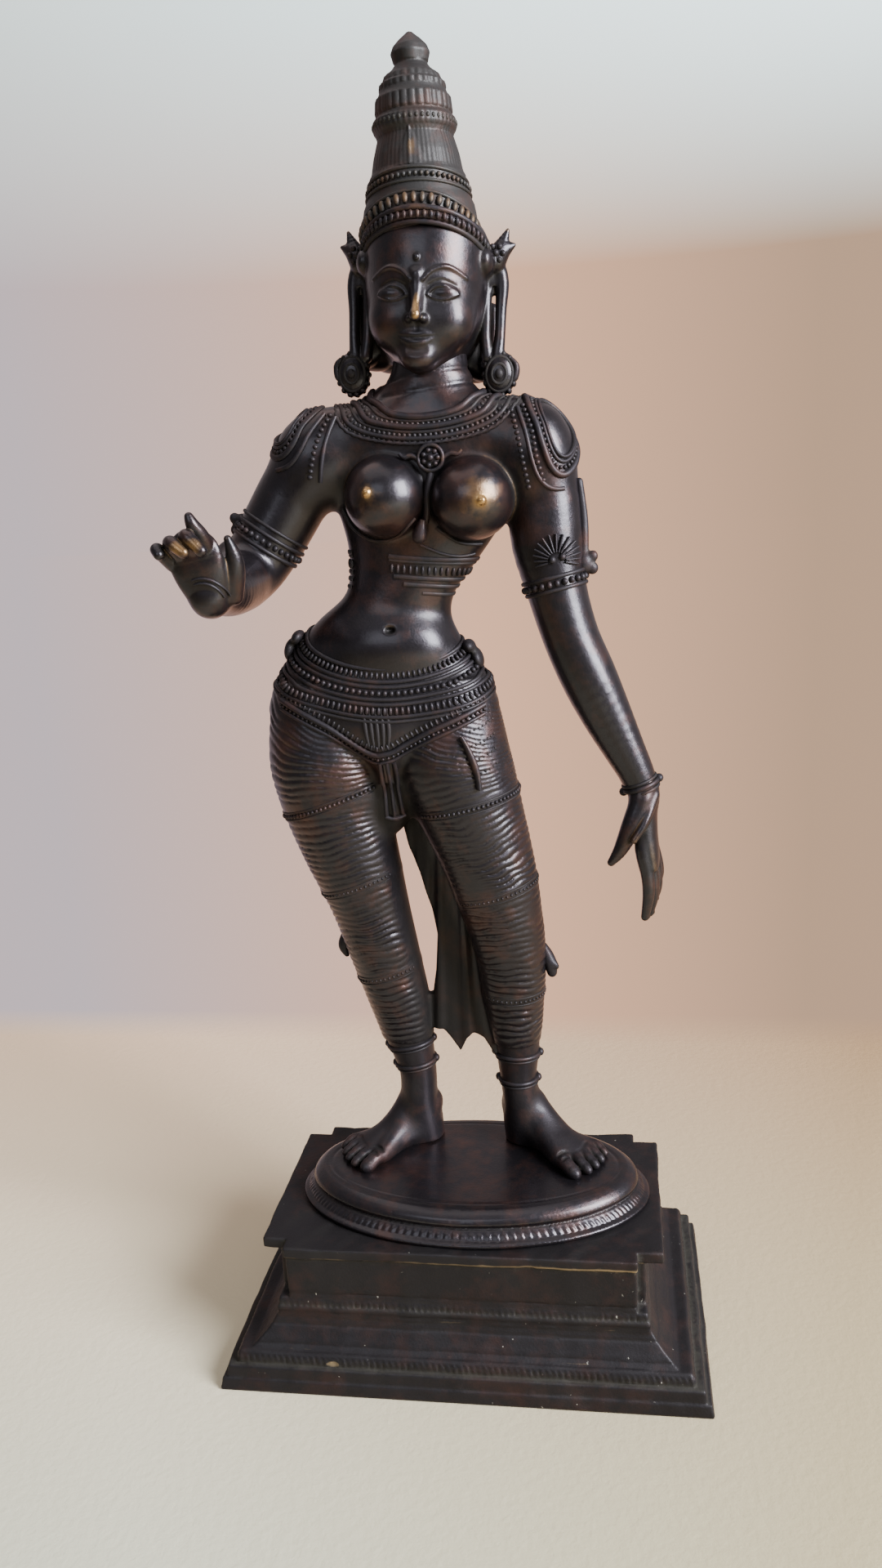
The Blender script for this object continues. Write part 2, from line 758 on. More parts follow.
class Jewels:
    """Cords, bands and beads laid on a clay surface, gathered into one mesh."""

    def __init__(self, clay: Clay) -> None:
        """Nothing laid yet on the clay."""
        self.clay = clay
        self.shell = Shell()

    def front(self, stops: Rows, spacing: float = TRACE_STEP) -> Array:
        """Line on the surface under stops of X and Z seen from the front.

        Args:
            stops: X and Z of each stop.
            spacing: distance between points.

        Returns:
            Places on the surface.
        """
        line = evenly(through(stops, 24 * len(stops)), spacing)
        origins = np.stack([line[:, 0], np.full(len(line), self.clay.low[1] + 1), line[:, 1]], axis=1)
        reach = float(self.clay.axes[1][-1] - self.clay.low[1])
        return self.smooth(self.clay.cast(origins, np.tile([0.0, 1.0, 0.0], (len(line), 1)), reach))

    def around(
        self, middle: Field, reach: float = 45.0, start: float = 0.0, stop: float = 360.0, oval: float = 1.0
    ) -> Array:
        """Line around a body, met from outside towards its middle.

        Args:
            middle: gives places on or near the axis, one for each angle.
            reach: how far out the search starts.
            start: first angle in degrees, 0 along X and -90 to the front.
            stop: last angle; 360 beyond the first closes the line.
            oval: depth of the body over its width.

        Returns:
            Places on the surface.
        """
        closed = abs(stop - start) >= 360
        angles = np.radians(np.linspace(start, stop, 160, endpoint=not closed))
        ways = unit(np.stack([np.cos(angles), oval * np.sin(angles), np.zeros(len(angles))], axis=1))
        return self.smooth(self.clay.cast(middle(angles) + ways * reach, -ways, reach), closed)

    def belt(
        self, centre: tuple[float, float], heights: Sequence[float], reach: float = 45.0,
        start: float = 0.0, stop: float = 360.0, oval: float = 1.0,
    ) -> Array:
        """Line around a body whose height is given at four sides.

        Args:
            centre: X and Y of the axis.
            heights: heights at +X, in front, at -X and behind.
            reach: how far out the search starts.
            start: first angle in degrees, 0 along X and -90 to the front.
            stop: last angle.
            oval: depth of the body over its width.

        Returns:
            Places on the surface.
        """
        right, front, left, back = heights

        def middle(angles: Array) -> Array:
            """Places on the axis.

            Args:
                angles: angles around the axis.

            Returns:
                One place for each angle.
            """
            rise = 0.25 * (right + left - front - back) * np.cos(2 * angles)
            rise = rise + 0.5 * (right - left) * np.cos(angles) + 0.5 * (back - front) * np.sin(angles)
            z = 0.25 * sum(heights) + rise
            return np.stack([np.full(len(z), centre[0]), np.full(len(z), centre[1]), z], axis=1)

        return self.around(middle, reach, start, stop, oval)

    def hoop(
        self, centre: Place, along: Place, reach: float, start: float = 0.0, stop: float = 360.0
    ) -> Array:
        """Line around a limb, square to it.

        Args:
            centre: a place inside the limb.
            along: direction of the limb.
            reach: how far out the search starts.
            start: first angle in degrees, 0 towards X and -90 to the front of an upright limb.
            stop: last angle.

        Returns:
            Places on the surface.
        """
        axis = unit(np.asarray(along, float))
        side = unit(np.array([1.0, 0, 0]) - axis * axis[0])
        closed = abs(stop - start) >= 360
        angles = np.radians(np.linspace(start, stop, 110, endpoint=not closed))
        ways = np.cos(angles)[:, None] * side + np.sin(angles)[:, None] * np.cross(axis, side)
        return self.smooth(self.clay.cast(np.asarray(centre, float) + ways * reach, -ways, reach), closed)

    def laid(self, stops: Rows) -> Array:
        """Closed line through stops near the surface, moved onto it."""
        line = evenly(through(stops, 24 * len(stops), True), TRACE_STEP, True)
        return self.smooth(self.clay.settle(line), True)

    @staticmethod
    def smooth(path: Array, closed: bool = False, passes: int = 3) -> Array:
        """The same line with small steps evened out.

        Args:
            path: the line.
            closed: whether it returns to its first point.
            passes: how often it is evened.

        Returns:
            The new line.
        """
        for _ in range(passes):
            evened = 0.5 * path + 0.25 * (np.roll(path, 1, axis=0) + np.roll(path, -1, axis=0))
            if not closed:
                evened[[0, -1]] = path[[0, -1]]
            path = evened
        return path

    def cord(
        self, path: Array, wide: float, high: Optional[float] = None, closed: bool = False, strands: int = 0,
        pitch: float = 3.0, sides: int = 8, taper: float = 0.0,
    ) -> None:
        """Lays a cord or flat band, three tenths of its height under the surface.

        Args:
            path: places on the surface.
            wide: half width.
            high: half height, as wide when not given.
            closed: whether it returns to its first point.
            strands: how many strands are twisted, or 0 for a plain cord.
            pitch: length of one turn of the twist.
            sides: sides of its section.
            taper: share of the width lost towards both ends.
        """
        proud, twist, narrowing = 0.4, 0.22, 0.4
        tall = wide if high is None else high
        spacing = min(TRACE_STEP, pitch / 6) if strands else TRACE_STEP
        line = evenly(path, spacing, closed)
        _, out, across = frames_along(line, self.clay.outward(line, 1.0), closed)
        middle = line + out * tall * proud
        angles = TAU * np.arange(sides) / sides
        run = np.arange(len(line)) * spacing
        swell = np.ones((len(line), sides))
        if strands:
            swell += twist * np.cos(strands * angles[None, :] + TAU * run[:, None] / pitch)
        ends = np.minimum(run, run[-1] - run)
        width = 1 - taper * np.clip(1 - ends / (narrowing * run[-1]), 0, 1)
        rings = (
            middle[:, None, :]
            + across[:, None, :] * (wide * width[:, None] * swell * np.cos(angles))[:, :, None]
            + out[:, None, :] * (tall * swell * np.sin(angles))[:, :, None]
        )
        self.shell.tube(rings[:, ::-1], closed)

    def beads(
        self, path: Array, radius: float, spacing: float, closed: bool = False, shape: Place = (1, 1, 1),
        lift: float = 0.1,
    ) -> None:
        """Lays a row of beads.

        Args:
            path: places on the surface.
            radius: radius of a bead.
            spacing: distance from bead to bead.
            closed: whether the row returns to its first bead.
            shape: stretch along the row, out of the surface and across the row.
            lift: height of the middles above the surface, as a share of the radius.
        """
        line = evenly(path, spacing, closed)
        ahead, out, across = frames_along(line, self.clay.outward(line, 1.0), closed)
        turns = np.stack([ahead, out, -across], axis=1) * (radius * np.array(shape))[None, :, None]
        places = (line + out * lift * radius)[:, None, :] + BEAD_POINTS @ turns
        starts = np.arange(len(line)) * len(BEAD_POINTS)
        self.shell.put(places.reshape(-1, 3), (BEAD_FACES[None] + starts[:, None, None]).reshape(-1, 3))

    def ball(self, middle: Sequence[float], radii: Sequence[float]) -> None:
        """Adds one stretched ball at a place of its own."""
        self.shell.put(np.array(middle) + BEAD_POINTS * np.array(radii), BEAD_FACES)

    def tube(self, stops: Rows, closed: bool = False, count: int = 24) -> None:
        """Adds a free tube; each stop is X, Y, Z and radius.

        Args:
            stops: the stops.
            closed: whether it returns to its first stop.
            count: how many rings it has.
        """
        path = through(stops, count, closed)
        line = path[:, :3]
        ahead = unit(np.roll(line, -1, 0) - np.roll(line, 1, 0) if closed else np.gradient(line, axis=0))
        side = unit(np.cross(ahead, [0.31, 0.24, 0.92]))
        other = np.cross(ahead, side)
        angles = (TAU * np.arange(8) / 8)[None, :, None]
        round_it = side[:, None, :] * np.cos(angles) + other[:, None, :] * np.sin(angles)
        self.shell.tube(line[:, None, :] + path[:, 3, None, None] * round_it, closed)


# Shading.


class Wire:
    """One output of a node, on which Python's operators build Math nodes."""

    def __init__(self, desk: "Desk", socket: bpy.types.NodeSocket) -> None:
        """Wraps an output of a node on the desk."""
        self.desk = desk
        self.socket = socket

    def maths(self, operation: str, other: Union["Wire", float], flip: bool = False) -> "Wire":
        """Result of a Math node with this value first, or second when flipped."""
        pair = (other, self) if flip else (self, other)
        return self.desk.wire("ShaderNodeMath", {"operation": operation}, dict(enumerate(pair)))

    def __add__(self, other: Union["Wire", float]) -> "Wire":
        """Sum."""
        return self.maths("ADD", other)

    __radd__ = __add__

    def __sub__(self, other: Union["Wire", float]) -> "Wire":
        """Difference."""
        return self.maths("SUBTRACT", other)

    def __rsub__(self, other: float) -> "Wire":
        """Difference from a number."""
        return self.maths("SUBTRACT", other, flip=True)

    def __mul__(self, other: Union["Wire", float]) -> "Wire":
        """Product."""
        return self.maths("MULTIPLY", other)

    __rmul__ = __mul__

    def clamped(self) -> "Wire":
        """Held between 0 and 1."""
        return self.maths("MINIMUM", 1.0).maths("MAXIMUM", 0.0)

    def steeper(self, low: float, high: float) -> "Wire":
        """0 below one value and 1 above another, straight between them."""
        return ((self - low) * (1 / (high - low))).clamped()


class Desk:
    """Lays out the nodes of one material or of the world."""

    def __init__(self, owner: Union[bpy.types.Material, bpy.types.World]) -> None:
        """Switches on the nodes of a material or world."""
        owner.use_nodes = True
        self.tree = owner.node_tree

    def node(
        self, kind: str, settings: Optional[dict] = None, sockets: Optional[dict] = None
    ) -> bpy.types.Node:
        """Adds a node.

        Args:
            kind: its Blender type.
            settings: properties to set first.
            sockets: values or wires of its inputs, by name or number.

        Returns:
            The node.
        """
        node = self.tree.nodes.new(kind)
        for key, value in (settings or {}).items():
            setattr(node, key, value)
        return self.feed(node, sockets or {})

    def feed(self, node: bpy.types.Node, sockets: dict) -> bpy.types.Node:
        """Links wires to inputs of a node, or sets their values.

        Args:
            node: the node.
            sockets: values or wires, by name or number.

        Returns:
            The same node.
        """
        for key, value in sockets.items():
            socket = node.inputs[key]
            if isinstance(value, Wire):
                self.tree.links.new(value.socket, socket)
            elif isinstance(value, (int, float)):
                socket.default_value = float(value)
            else:
                socket.default_value = [*value, 1.0][: len(socket.default_value)]
        return node

    def wire(
        self, kind: str, settings: Optional[dict] = None, sockets: Optional[dict] = None, out: int = 0
    ) -> Wire:
        """Adds a node and returns one of its outputs."""
        return Wire(self, self.node(kind, settings, sockets).outputs[out])

    def kept(self, kind: str) -> bpy.types.Node:
        """The node of a kind that a new material has."""
        return next(node for node in self.tree.nodes if node.type == kind)

    def places(self, out: int = 3) -> tuple[Wire, Wire, Wire]:
        """X, Y and Z of the place on the object in metres, or of another output of the coordinates."""
        parts = self.node("ShaderNodeSeparateXYZ", None, {0: self.wire("ShaderNodeTexCoord", out=out)})
        return tuple(Wire(self, socket) for socket in parts.outputs)

    def painted(self, name: str) -> Wire:
        """Value painted on the mesh."""
        return self.wire("ShaderNodeAttribute", {"attribute_name": name}, out=2)

    def noise(self, size: float, detail: float, rough: float) -> Wire:
        """Cloudy value from 0 to 1 with blots of about a size in millimetres.

        Args:
            size: size of the blots.
            detail: how many finer layers.
            rough: strength of those layers.

        Returns:
            The value.
        """
        place = self.wire("ShaderNodeTexCoord", out=3)
        sockets = {"Vector": place, "Scale": 1 / (size * MM), "Detail": detail, "Roughness": rough}
        return self.wire("ShaderNodeTexNoise", None, sockets)

    def mixed(self, share: Wire, a: Union[Wire, Colour], b: Union[Wire, Colour]) -> Wire:
        """Colour between two colours."""
        return self.wire("ShaderNodeMix", {"data_type": "RGBA"}, {0: share, 6: a, 7: b}, out=2)

    def bumps(self, heights: Sequence[tuple[Wire, float]]) -> Wire:
        """Normal of one or more reliefs.

        Args:
            heights: for each, its height from 0 to 1 and its full depth in millimetres.

        Returns:
            The normal.
        """
        normal: dict = {}
        for height, depth in heights:
            sockets = {"Height": height, "Distance": depth * MM, "Strength": 1.0, **normal}
            normal = {"Normal": self.wire("ShaderNodeBump", None, sockets)}
        return normal["Normal"]


@dataclass(frozen=True)
class Bronze:
    """Dark patinated bronze, worn golden where hands and cloths rub it."""

    name: str
    dark: Colour = (0.0215, 0.018, 0.021)
    warm: Colour = (0.075, 0.032, 0.023)
    worn: Colour = (0.36, 0.2, 0.075)
    dust: Colour = (0.11, 0.1, 0.078)
    black: Colour = (0.004, 0.004, 0.004)
    chalk: Colour = (0.4, 0.38, 0.33)
    roughness: float = 0.33
    coat: float = 0.24
    dustiness: float = 0.1
    wear: float = 1.0
    pitting: float = 0.05
    soot: float = 0.7
    specks: float = 0.0

    def build(self) -> bpy.types.Material:
        """The material.

        Returns:
            The material.
        """
        material = bpy.data.materials.new(self.name)
        desk = Desk(material)
        clouds, blots, grain = desk.noise(16, 4, 0.6), desk.noise(4.5, 4, 0.6), desk.noise(0.8, 3, 0.6)
        rub, recess = desk.painted("wear"), desk.painted("recess")
        warmth = (clouds * 0.9 + blots * 0.5 - 0.2).steeper(0.48, 0.88)
        colour = desk.mixed(warmth, self.dark, self.warm)
        rubbed = (rub * 1.5 * self.wear + blots * 0.5 - 0.62).clamped()
        colour = desk.mixed(rubbed, colour, self.worn)
        colour = desk.mixed((recess * self.soot).clamped(), colour, self.black)
        settled = (recess * self.dustiness * (blots + 0.4)).clamped()
        colour = desk.mixed(settled, colour, self.dust)
        rough = self.roughness + 0.22 * (blots - 0.5) + 0.3 * recess - 0.08 * rubbed + 0.1 * (grain - 0.5)
        if self.specks:
            fine = desk.noise(1.5, 2, 0.5).steeper(0.72, 0.75) * blots.steeper(0.52, 0.58)
            colour = desk.mixed(fine * self.specks, colour, self.chalk)
        looks = {
            "Base Color": colour,
            "Specular Tint": (1.0, 0.9, 0.95),
            "Metallic": 0.8,
            "Roughness": rough.clamped(),
            "Coat Weight": (self.coat - recess * self.coat).clamped(),
            "Coat Roughness": 0.2,
            "Normal": desk.bumps([(blots, 0.12), (grain, self.pitting)]),
        }
        desk.feed(desk.kept("BSDF_PRINCIPLED"), looks)
        return material


class Part(Enum):
    """The record's material slot and the solid of each casting."""

    FIGURE = ("bronze_figure", "goddess_figure")
    PLINTH = ("bronze_plinth", "stepped_plinth")


def paint(thing: bpy.types.Object, name: str, values: Array) -> None:
    """Stores one value from 0 to 1 for each point of a mesh."""
    layer = thing.data.attributes.new(name, "FLOAT", "POINT")
    layer.data.foreach_set("value", np.clip(values, 0, 1).astype(np.float32))


def places_of(thing: bpy.types.Object) -> Array:
    """Points of a mesh in millimetres.

    Args:
        thing: the piece.

    Returns:
        One row for each point.
    """
    flat = np.zeros(3 * len(thing.data.vertices), np.float32)
    thing.data.vertices.foreach_get("co", flat)
    return flat.reshape(-1, 3).astype(float) / MM


def triangles_of(thing: bpy.types.Object) -> int:
    """How many triangles a mesh comes to."""
    return sum(len(face.vertices) - 2 for face in thing.data.polygons)


def thin(thing: bpy.types.Object, triangles: int) -> None:
    """Draws small faces together until at most so many triangles are left.

    Args:
        thing: the piece.
        triangles: most triangles that it may have.
    """
    many = triangles_of(thing)
    if many <= triangles:
        return
    step = thing.modifiers.new("thin", "DECIMATE")
    step.ratio = triangles / many
    bpy.context.view_layer.update()
    mesh = bpy.data.meshes.new_from_object(thing.evaluated_get(bpy.context.evaluated_depsgraph_get()))
    thing.modifiers.clear()
    thing.data = mesh
    mesh.polygons.foreach_set("use_smooth", np.ones(len(mesh.polygons), bool))


@dataclass
class Workshop:
    """Turns shells and clays into dressed pieces that ride on the model."""

    finishes: dict[str, bpy.types.Material] = field(default_factory=dict)
    total: int = 0

    def dress(self, thing: bpy.types.Object, finish: Bronze, part: Part, pose: Optional[Matrix]) -> None:
        """Gives a piece its finish and its place in the model.

        Args:
            thing: the piece.
            finish: what it is made of.
            part: the casting that it belongs to.
            pose: where its own frame stands in the model's, in metres.
        """
        if pose is not None:
            thing.data.transform(pose)
        if finish.name not in self.finishes:
            self.finishes[finish.name] = finish.build()
        thing.data.materials.clear()
        thing.data.materials.append(self.finishes[finish.name])
        slot, node = part.value
        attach(thing, "root")
        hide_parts(node)
        many = triangles_of(thing)
        self.total += many
        LOG.info("%s: %d triangles, %d so far", thing.name, many, self.total)

    def sculpt(
        self, name: str, clay: Clay, finish: Bronze, triangles: int, rubbed: Optional[Field] = None,
        pose: Optional[Matrix] = None, part: Part = Part.FIGURE, edges: float = 0.9,
        shade: Optional[Field] = None,
    ) -> None:
        """Meshes a clay and paints where it is hollow and where it is worn.

        Args:
            name: what the piece is called.
            clay: its shape.
            finish: what it is made of.
            triangles: most triangles that it may have.
            rubbed: extra wear for each place.
            pose: where the clay's own frame stands in the model's, in metres.
            part: the casting that it belongs to.
            edges: how worn its sharp edges are.
            shade: extra soot for each place.
        """
        thing = Shell().put(*clay.skin()).build(name)
        thin(thing, triangles)
        places = places_of(thing)
        span, reach = 0.6, 1.3
        out = clay.outward(places, span)
        hollow = 1 - clay.sample(places + out * reach) / reach
        ridge = 1 + clay.sample(places - out * reach) / reach
        paint(thing, "recess", 1.8 * hollow + (shade(places) if shade else 0.0))
        paint(thing, "wear", edges * ridge - 0.1 + (rubbed(places) if rubbed else 0.0))
        self.dress(thing, finish, part, pose)

    def set_jewels(
        self, name: str, jewels: Jewels, finish: Bronze, height: float = 1.0, pose: Optional[Matrix] = None
    ) -> None:
        """Makes a piece of cords and beads, worn on top and dull where it meets the surface.

        Args:
            name: what the piece is called.
            jewels: the cords and beads.
            finish: what they are made of.
            height: how far above the surface they are fully worn.
            pose: where their own frame stands in the model's, in metres.
        """
        thing = jewels.shell.build(name)
        above = jewels.clay.sample(places_of(thing)) / height
        paint(thing, "recess", 0.8 - 1.2 * above)
        paint(thing, "wear", 0.2 + 0.45 * above)
        self.dress(thing, finish, Part.FIGURE, pose)


FIGURE_BRONZE = Bronze("figure_bronze")
SKIRT_BRONZE = Bronze("skirt_bronze", roughness=0.4, coat=0.2, wear=0.25)
JEWEL_BRONZE = Bronze("jewel_bronze", roughness=0.58, coat=0.08, wear=0.25, dustiness=0.25, soot=0.35)
CROWN_BRONZE = Bronze(
    "crown_bronze", dark=(0.031, 0.0285, 0.0275), roughness=0.62, coat=0.08, wear=0.5, dustiness=0.4,
    soot=0.5,
)
FOOT_BRONZE = Bronze("foot_bronze", roughness=0.48, coat=0.1, wear=0.6)
BASE_BRONZE = Bronze("pedestal_bronze", roughness=0.34, coat=0.3, wear=0.2)
PLINTH_BRONZE = Bronze(
    "plinth_bronze", dark=(0.0165, 0.0145, 0.0155), warm=(0.045, 0.022, 0.018), worn=(0.5, 0.36, 0.2),
    roughness=0.62, coat=0.06, dustiness=0.4, wear=0.7, pitting=0.08, soot=0.5, specks=0.8,
)


# The figure.


@dataclass
class Torso:
    """Bare trunk with its neck and both arms."""

    rows: Rows = (
        (200, -18.4, 33.0, 5, 13.6, 16), (207, -18.5, 32.4, 5, 13.8, 16), (216, -18.1, 29, 5, 13, 14.2),
        (224, -17.8, 24.3, 5, 12, 12.5), (231, -15.6, 19.6, 5, 10.5, 11),
        (237.5, -10.8, 16.4, 4.6, 9.6, 10), (244, -7, 17.8, 4.2, 9, 9.8), (252, -3.8, 20.9, 4, 9.4, 10),
        (261, -1.5, 25, 4, 10.4, 10.6), (270, -0.8, 27.9, 4, 10.8, 11), (278, -0.6, 29.5, 4, 10.4, 10.8),
        (284, -0.4, 28, 4, 9.6, 10), (288.5, -0.6, 22.8, 4, 8.4, 9), (292, -1, 15.4, 4, 7.6, 8.2),
        (294, -0.6, 12.4, 4, 7, 7.5),
    )
    left_arm: Rows = (
        (19, 4, 279, 8, 8), (28.2, 4, 277.8, 9.6, 9.2), (31.8, 3.6, 265, 9.9, 9.6),
        (32.6, 3, 251, 10.2, 9.6), (34.6, 2.2, 238, 8.6, 9), (38.3, 1.4, 224, 8, 8.6),
        (43.1, 0.8, 212, 8, 8.2), (47.9, 0.4, 201, 7.2, 7), (52.6, 0, 191, 6, 5.9),
        (55.9, 0, 184, 5.2, 5.5), (57.8, 0, 178.6, 4.8, 5.3),
    )
    right_arm: Rows = (
        (-20, 4, 281, 8, 8), (-30, 4, 279.5, 10, 9.6), (-38, 3.8, 269, 10.4, 9.8),
        (-45, 3, 258.5, 10.2, 9.8), (-51, 1, 249.5, 9.6, 9.4), (-53.8, -5, 245, 8.8, 9),
        (-53.6, -14, 243.8, 8.2, 8.4), (-52.8, -24, 243.2, 7.2, 7.4), (-52.3, -34, 243.4, 5.9, 6),
        (-51.8, -42, 242.9, 5, 5),
    )
    neck: Rows = (
        (1.2, 4, 284, 12.4, 8.8), (1.5, 4, 291, 11.6, 9.2), (2.2, 4, 300, 10.2, 9.4), (2.2, 4, 306, 10, 9.8),
    )
    breasts: tuple = (
        ((-11.2, -4.4, 265), (-14.2, -16.1, 266.5)), ((12.9, -4.4, 263.2), (16.7, -15.9, 262.7)),
    )
    worn: tuple = (
        ((-13.5, -14, 265), 11.5, 0.4), ((16, -14.2, 264), 9.5, 0.52), ((-14.2, -17, 266.5), 1.6, 0.5),
        ((16.7, -16.8, 262.7), 1.6, 0.9), ((-10, -8.5, 222), 9, 0.1), ((35.5, -6, 232), 10, 0.14),
        ((43, -5, 205), 12, 0.1), ((33, -5, 256), 9, 0.1),
    )
    navel: tuple[float, float] = (-12.0, 228.4)
    clay: Optional[Clay] = None

    def model(self) -> Clay:
        """The trunk and arms as clay.

        Returns:
            The clay.
        """
        clay = Clay((-66, -50, 174), (64, 19, 308), 0.5)
        clay.add(Column(self.rows))
        clay.add(Ball((-13, -1.5, 223), (15, 7.6, 9)), 5)
        clay.add(Ball((0.6, 3, 283), (23, 8, 8)), 6)
        for side in (-1, 1):
            clay.add(Ball((0.4 + side * 12.5, 9, 272), (12.5, 8, 15), (0, side * 8, 0)), 5)
            collarbone = [(0.6 + side * 3, -2.6, 286, 2), (side * 13, -2.4, 286.5, 2), (side * 25, 0, 286, 2)]
            clay.add(Limb(collarbone, 10), 4)
        clay.add(Limb(self.neck, 16), 5)
        clay.add(Limb(self.left_arm, 40), 4.5)
        clay.add(Limb(self.right_arm, 44), 4.5)
        clay.add(Ball((29, 3.6, 274), (11, 10.4, 13)), 5)
        clay.add(Ball((-31, 3.6, 275.5), (11.4, 10.4, 12)), 5)
        spine = [(-6, 16.5, 236), (-2, 16.2, 255), (0.5, 16.8, 275)]
        clay.cut(Limb([(*stop, 1.6) for stop in spine], 14), 5)
        for middle, tip in self.breasts:
            clay.add(Ball(middle, (11.5, 12.2, 11.3)), 1.6)
            clay.add(Ball(tip, (1.25, 1.1, 1.25)), 0.5)
        for height in (292.4, 296.4):
            clay.raise_by(
                lambda x, y, z, h=height: -0.3 * bell(z - 0.12 * x, h, 0.45),
                (-11, -8, height - 4), (15, 15, height + 4),
            )
        clay.cut(Ball((self.navel[0], -7.6, self.navel[1]), (1.3, 1.3, 0.8)), 1)
        clay.add(Limb([(-60.5, 0.5, 252.5, 2.2), (-61, -3, 247, 2.2)], 6), 4)
        clay.trim(2, 178, True)
        self.clay = clay
        return clay

    def rubbed(self, places: Array) -> Array:
        """Extra wear of the breasts, belly and left arm."""
        return spots(places, self.worn)

    def build(self, shop: Workshop) -> None:
        """Makes the piece."""
        shop.sculpt("trunk_and_arms", self.model(), FIGURE_BRONZE, 95000, self.rubbed)


@dataclass
class Skirt:
    """Pleated cloth around hips and legs, with the tail hanging between them."""

    hips: Rows = (
        (184, -16.2, 3.0, 5, 11.5, 15), (190, -16.2, 9, 5, 14.0, 17), (195, -16.6, 18, 5, 15.1, 18),
        (200, -17.6, 28, 5, 15.6, 18.5), (204, -18.4, 33.6, 5, 15.3, 18.2),
        (207, -18.5, 33.3, 5, 15, 17.5), (216, -18.1, 29.7, 5, 13.5, 14.6),
        (222, -17.9, 24.8, 5, 11.6, 12.4), (228, -16.8, 20.2, 5, 9.8, 10.4),
    )
    right_leg: Rows = (
        (213, -36.5, 13.5, 5, 11.5, 13), (204, -37, 15.5, 5, 13.5, 15), (188, -36, 18, 5, 16, 16.5),
        (172, -34.8, 16.5, 6, 15, 15.5), (155, -31.2, 14.5, 7, 13.6, 13.8),
        (139, -27.4, 12.3, 8.5, 12, 12.4), (122, -24.2, 11.1, 10.5, 11, 12),
        (105, -21, 9.9, 12.5, 9.8, 10.4), (93, -19.3, 8.5, 13.6, 8.4, 8.8),
    )
    left_leg: Rows = (
        (213, 0.4, 13.5, 5, 11.5, 13), (204, 1, 15.5, 5, 13.5, 15), (188, 2, 17.6, 5, 16, 16.5),
        (172, 5.9, 16.5, 5.5, 15, 15.5), (155, 10.6, 14.5, 6.5, 13.6, 13.8),
        (139, 13.8, 12.8, 7.8, 12.2, 12.6), (122, 16.2, 11, 9.8, 11, 12), (105, 16.3, 9.5, 12, 9.6, 10.2),
        (92, 16.5, 7.9, 13.2, 8.1, 8.6),
    )
    tail: Rows = (
        (-17, 172), (-14.3, 158.4), (-11.4, 150), (-8.4, 137.6), (-7, 129.2), (-8.2, 117), (-9.8, 108.4),
        (-13, 106.9), (-16.6, 106.8), (-16.6, 96), (-7, 96.2), (-4.4, 92.6), (-1.8, 88), (0.6, 93),
        (2.6, 94.8), (6.2, 93), (10, 86), (14, 86), (14, 172),
    )
    pitch: tuple[float, float] = (2.74, -0.0044)
    depth: float = 0.55
    right_bands: tuple[float, ...] = (177, 149.5, 118)
    left_bands: tuple[float, ...] = (175, 146, 110)
    base: Optional[Clay] = None

    def pleats(self, rows: Rows, bands: tuple[float, ...], seed: int, inner: int) -> Field:
        """Relief of ring-like folds square to a leg, which end before its inner side.

        Args:
            rows: sections of the leg.
            bands: heights of its bead bands.
            seed: which irregularity it has.
            inner: side that faces the other leg, 1 or -1.

        Returns:
            Function of the place from the middle and the height that gives the rise.
        """
        low = min(row[0] for row in rows)

        def relief(dx: Array, dy: Array, z: Array) -> Array:
            """Rise of the folds at each place.

            Args:
                dx: places across from the middle.
                dy: places in depth from the middle.
                z: heights.

            Returns:
                The rise.
            """
            heights = z.ravel()
            middle, half = rows_at(rows, heights)[:2]
            lean = np.gradient(middle, heights)
            lean = np.where(heights > 182, lean + 0.03 * (heights - 182), lean)[None, None, :]
            along = z + lean * dx + 0.5 * ripple(dx, dy, z, 26, seed)
            along = along + 0.35 * ripple(dx, dy, z, 9, seed + 1)
            wave = np.abs(np.sin(math.pi * np.log(self.pitch[0] + self.pitch[1] * along) / self.pitch[1]))
            rise = self.depth * (wave**0.55 - 0.62)
            rise = rise * np.clip((0.86 - inner * dx / half[None, None, :]) * 5, 0, 1)
            rise = rise * (0.75 + 0.35 * ripple(dx, dy, z, 14, seed + 2))
            for band in bands:
                flat = bell(z + lean * dx, band, 1.5)
                rise = rise * (1 - flat) + 0.15 * flat
            return rise * np.clip((along - low - 0.6) / 1.2, 0, 1)

        return relief

    def fold(self, x: Array, z: Array) -> Array:
        """How far the tail's cloth waves forward at each place.

        Args:
            x: places across.
            z: heights.

        Returns:
            The shift.
        """
        fade = np.clip((168 - z) / 26, 0, 1)
        spread = (x - 3) / (1 + 0.008 * (168 - z))
        return fade * (0.42 * np.sin(TAU * spread / 5.2) + 0.25 * np.sin(TAU * spread / 3.1 + 0.6))

    def plain(self, pleated: bool) -> Clay:
        """The skirt with its pleats, or without them and with the waist above it.

        Args:
            pleated: whether it has its pleats.

        Returns:
            The clay.
        """
        clay = Clay((-60, -16, 84), (32, 29, 236), 0.4 if pleated else 0.6)
        for leg in ((self.right_leg, self.right_bands, 3, 1), (self.left_leg, self.left_bands, 11, -1)):
            clay.add(Column(leg[0], self.pleats(*leg) if pleated else None), 1.2)
        clay.add(Column(self.hips), 2.5)
        clay.add(Ball((-17, 12.5, 194), (13, 9.5, 15)), 6)
        clay.add(Ball((-16.5, 4.5, 180), (6, 9, 14)), 5)
        clay.add(Sheet(self.tail, 10.4, 13.8, self.fold), 1.2)
        if pleated:
            clay.trim(2, 226.5, False)
        else:
            clay.add(Column(Torso.rows), 1.5)
        return clay

    def build(self, shop: Workshop) -> None:
        """Makes the piece.

        Args:
            shop: where it is made.
        """
        self.base = self.plain(False)
        clay = self.plain(True)

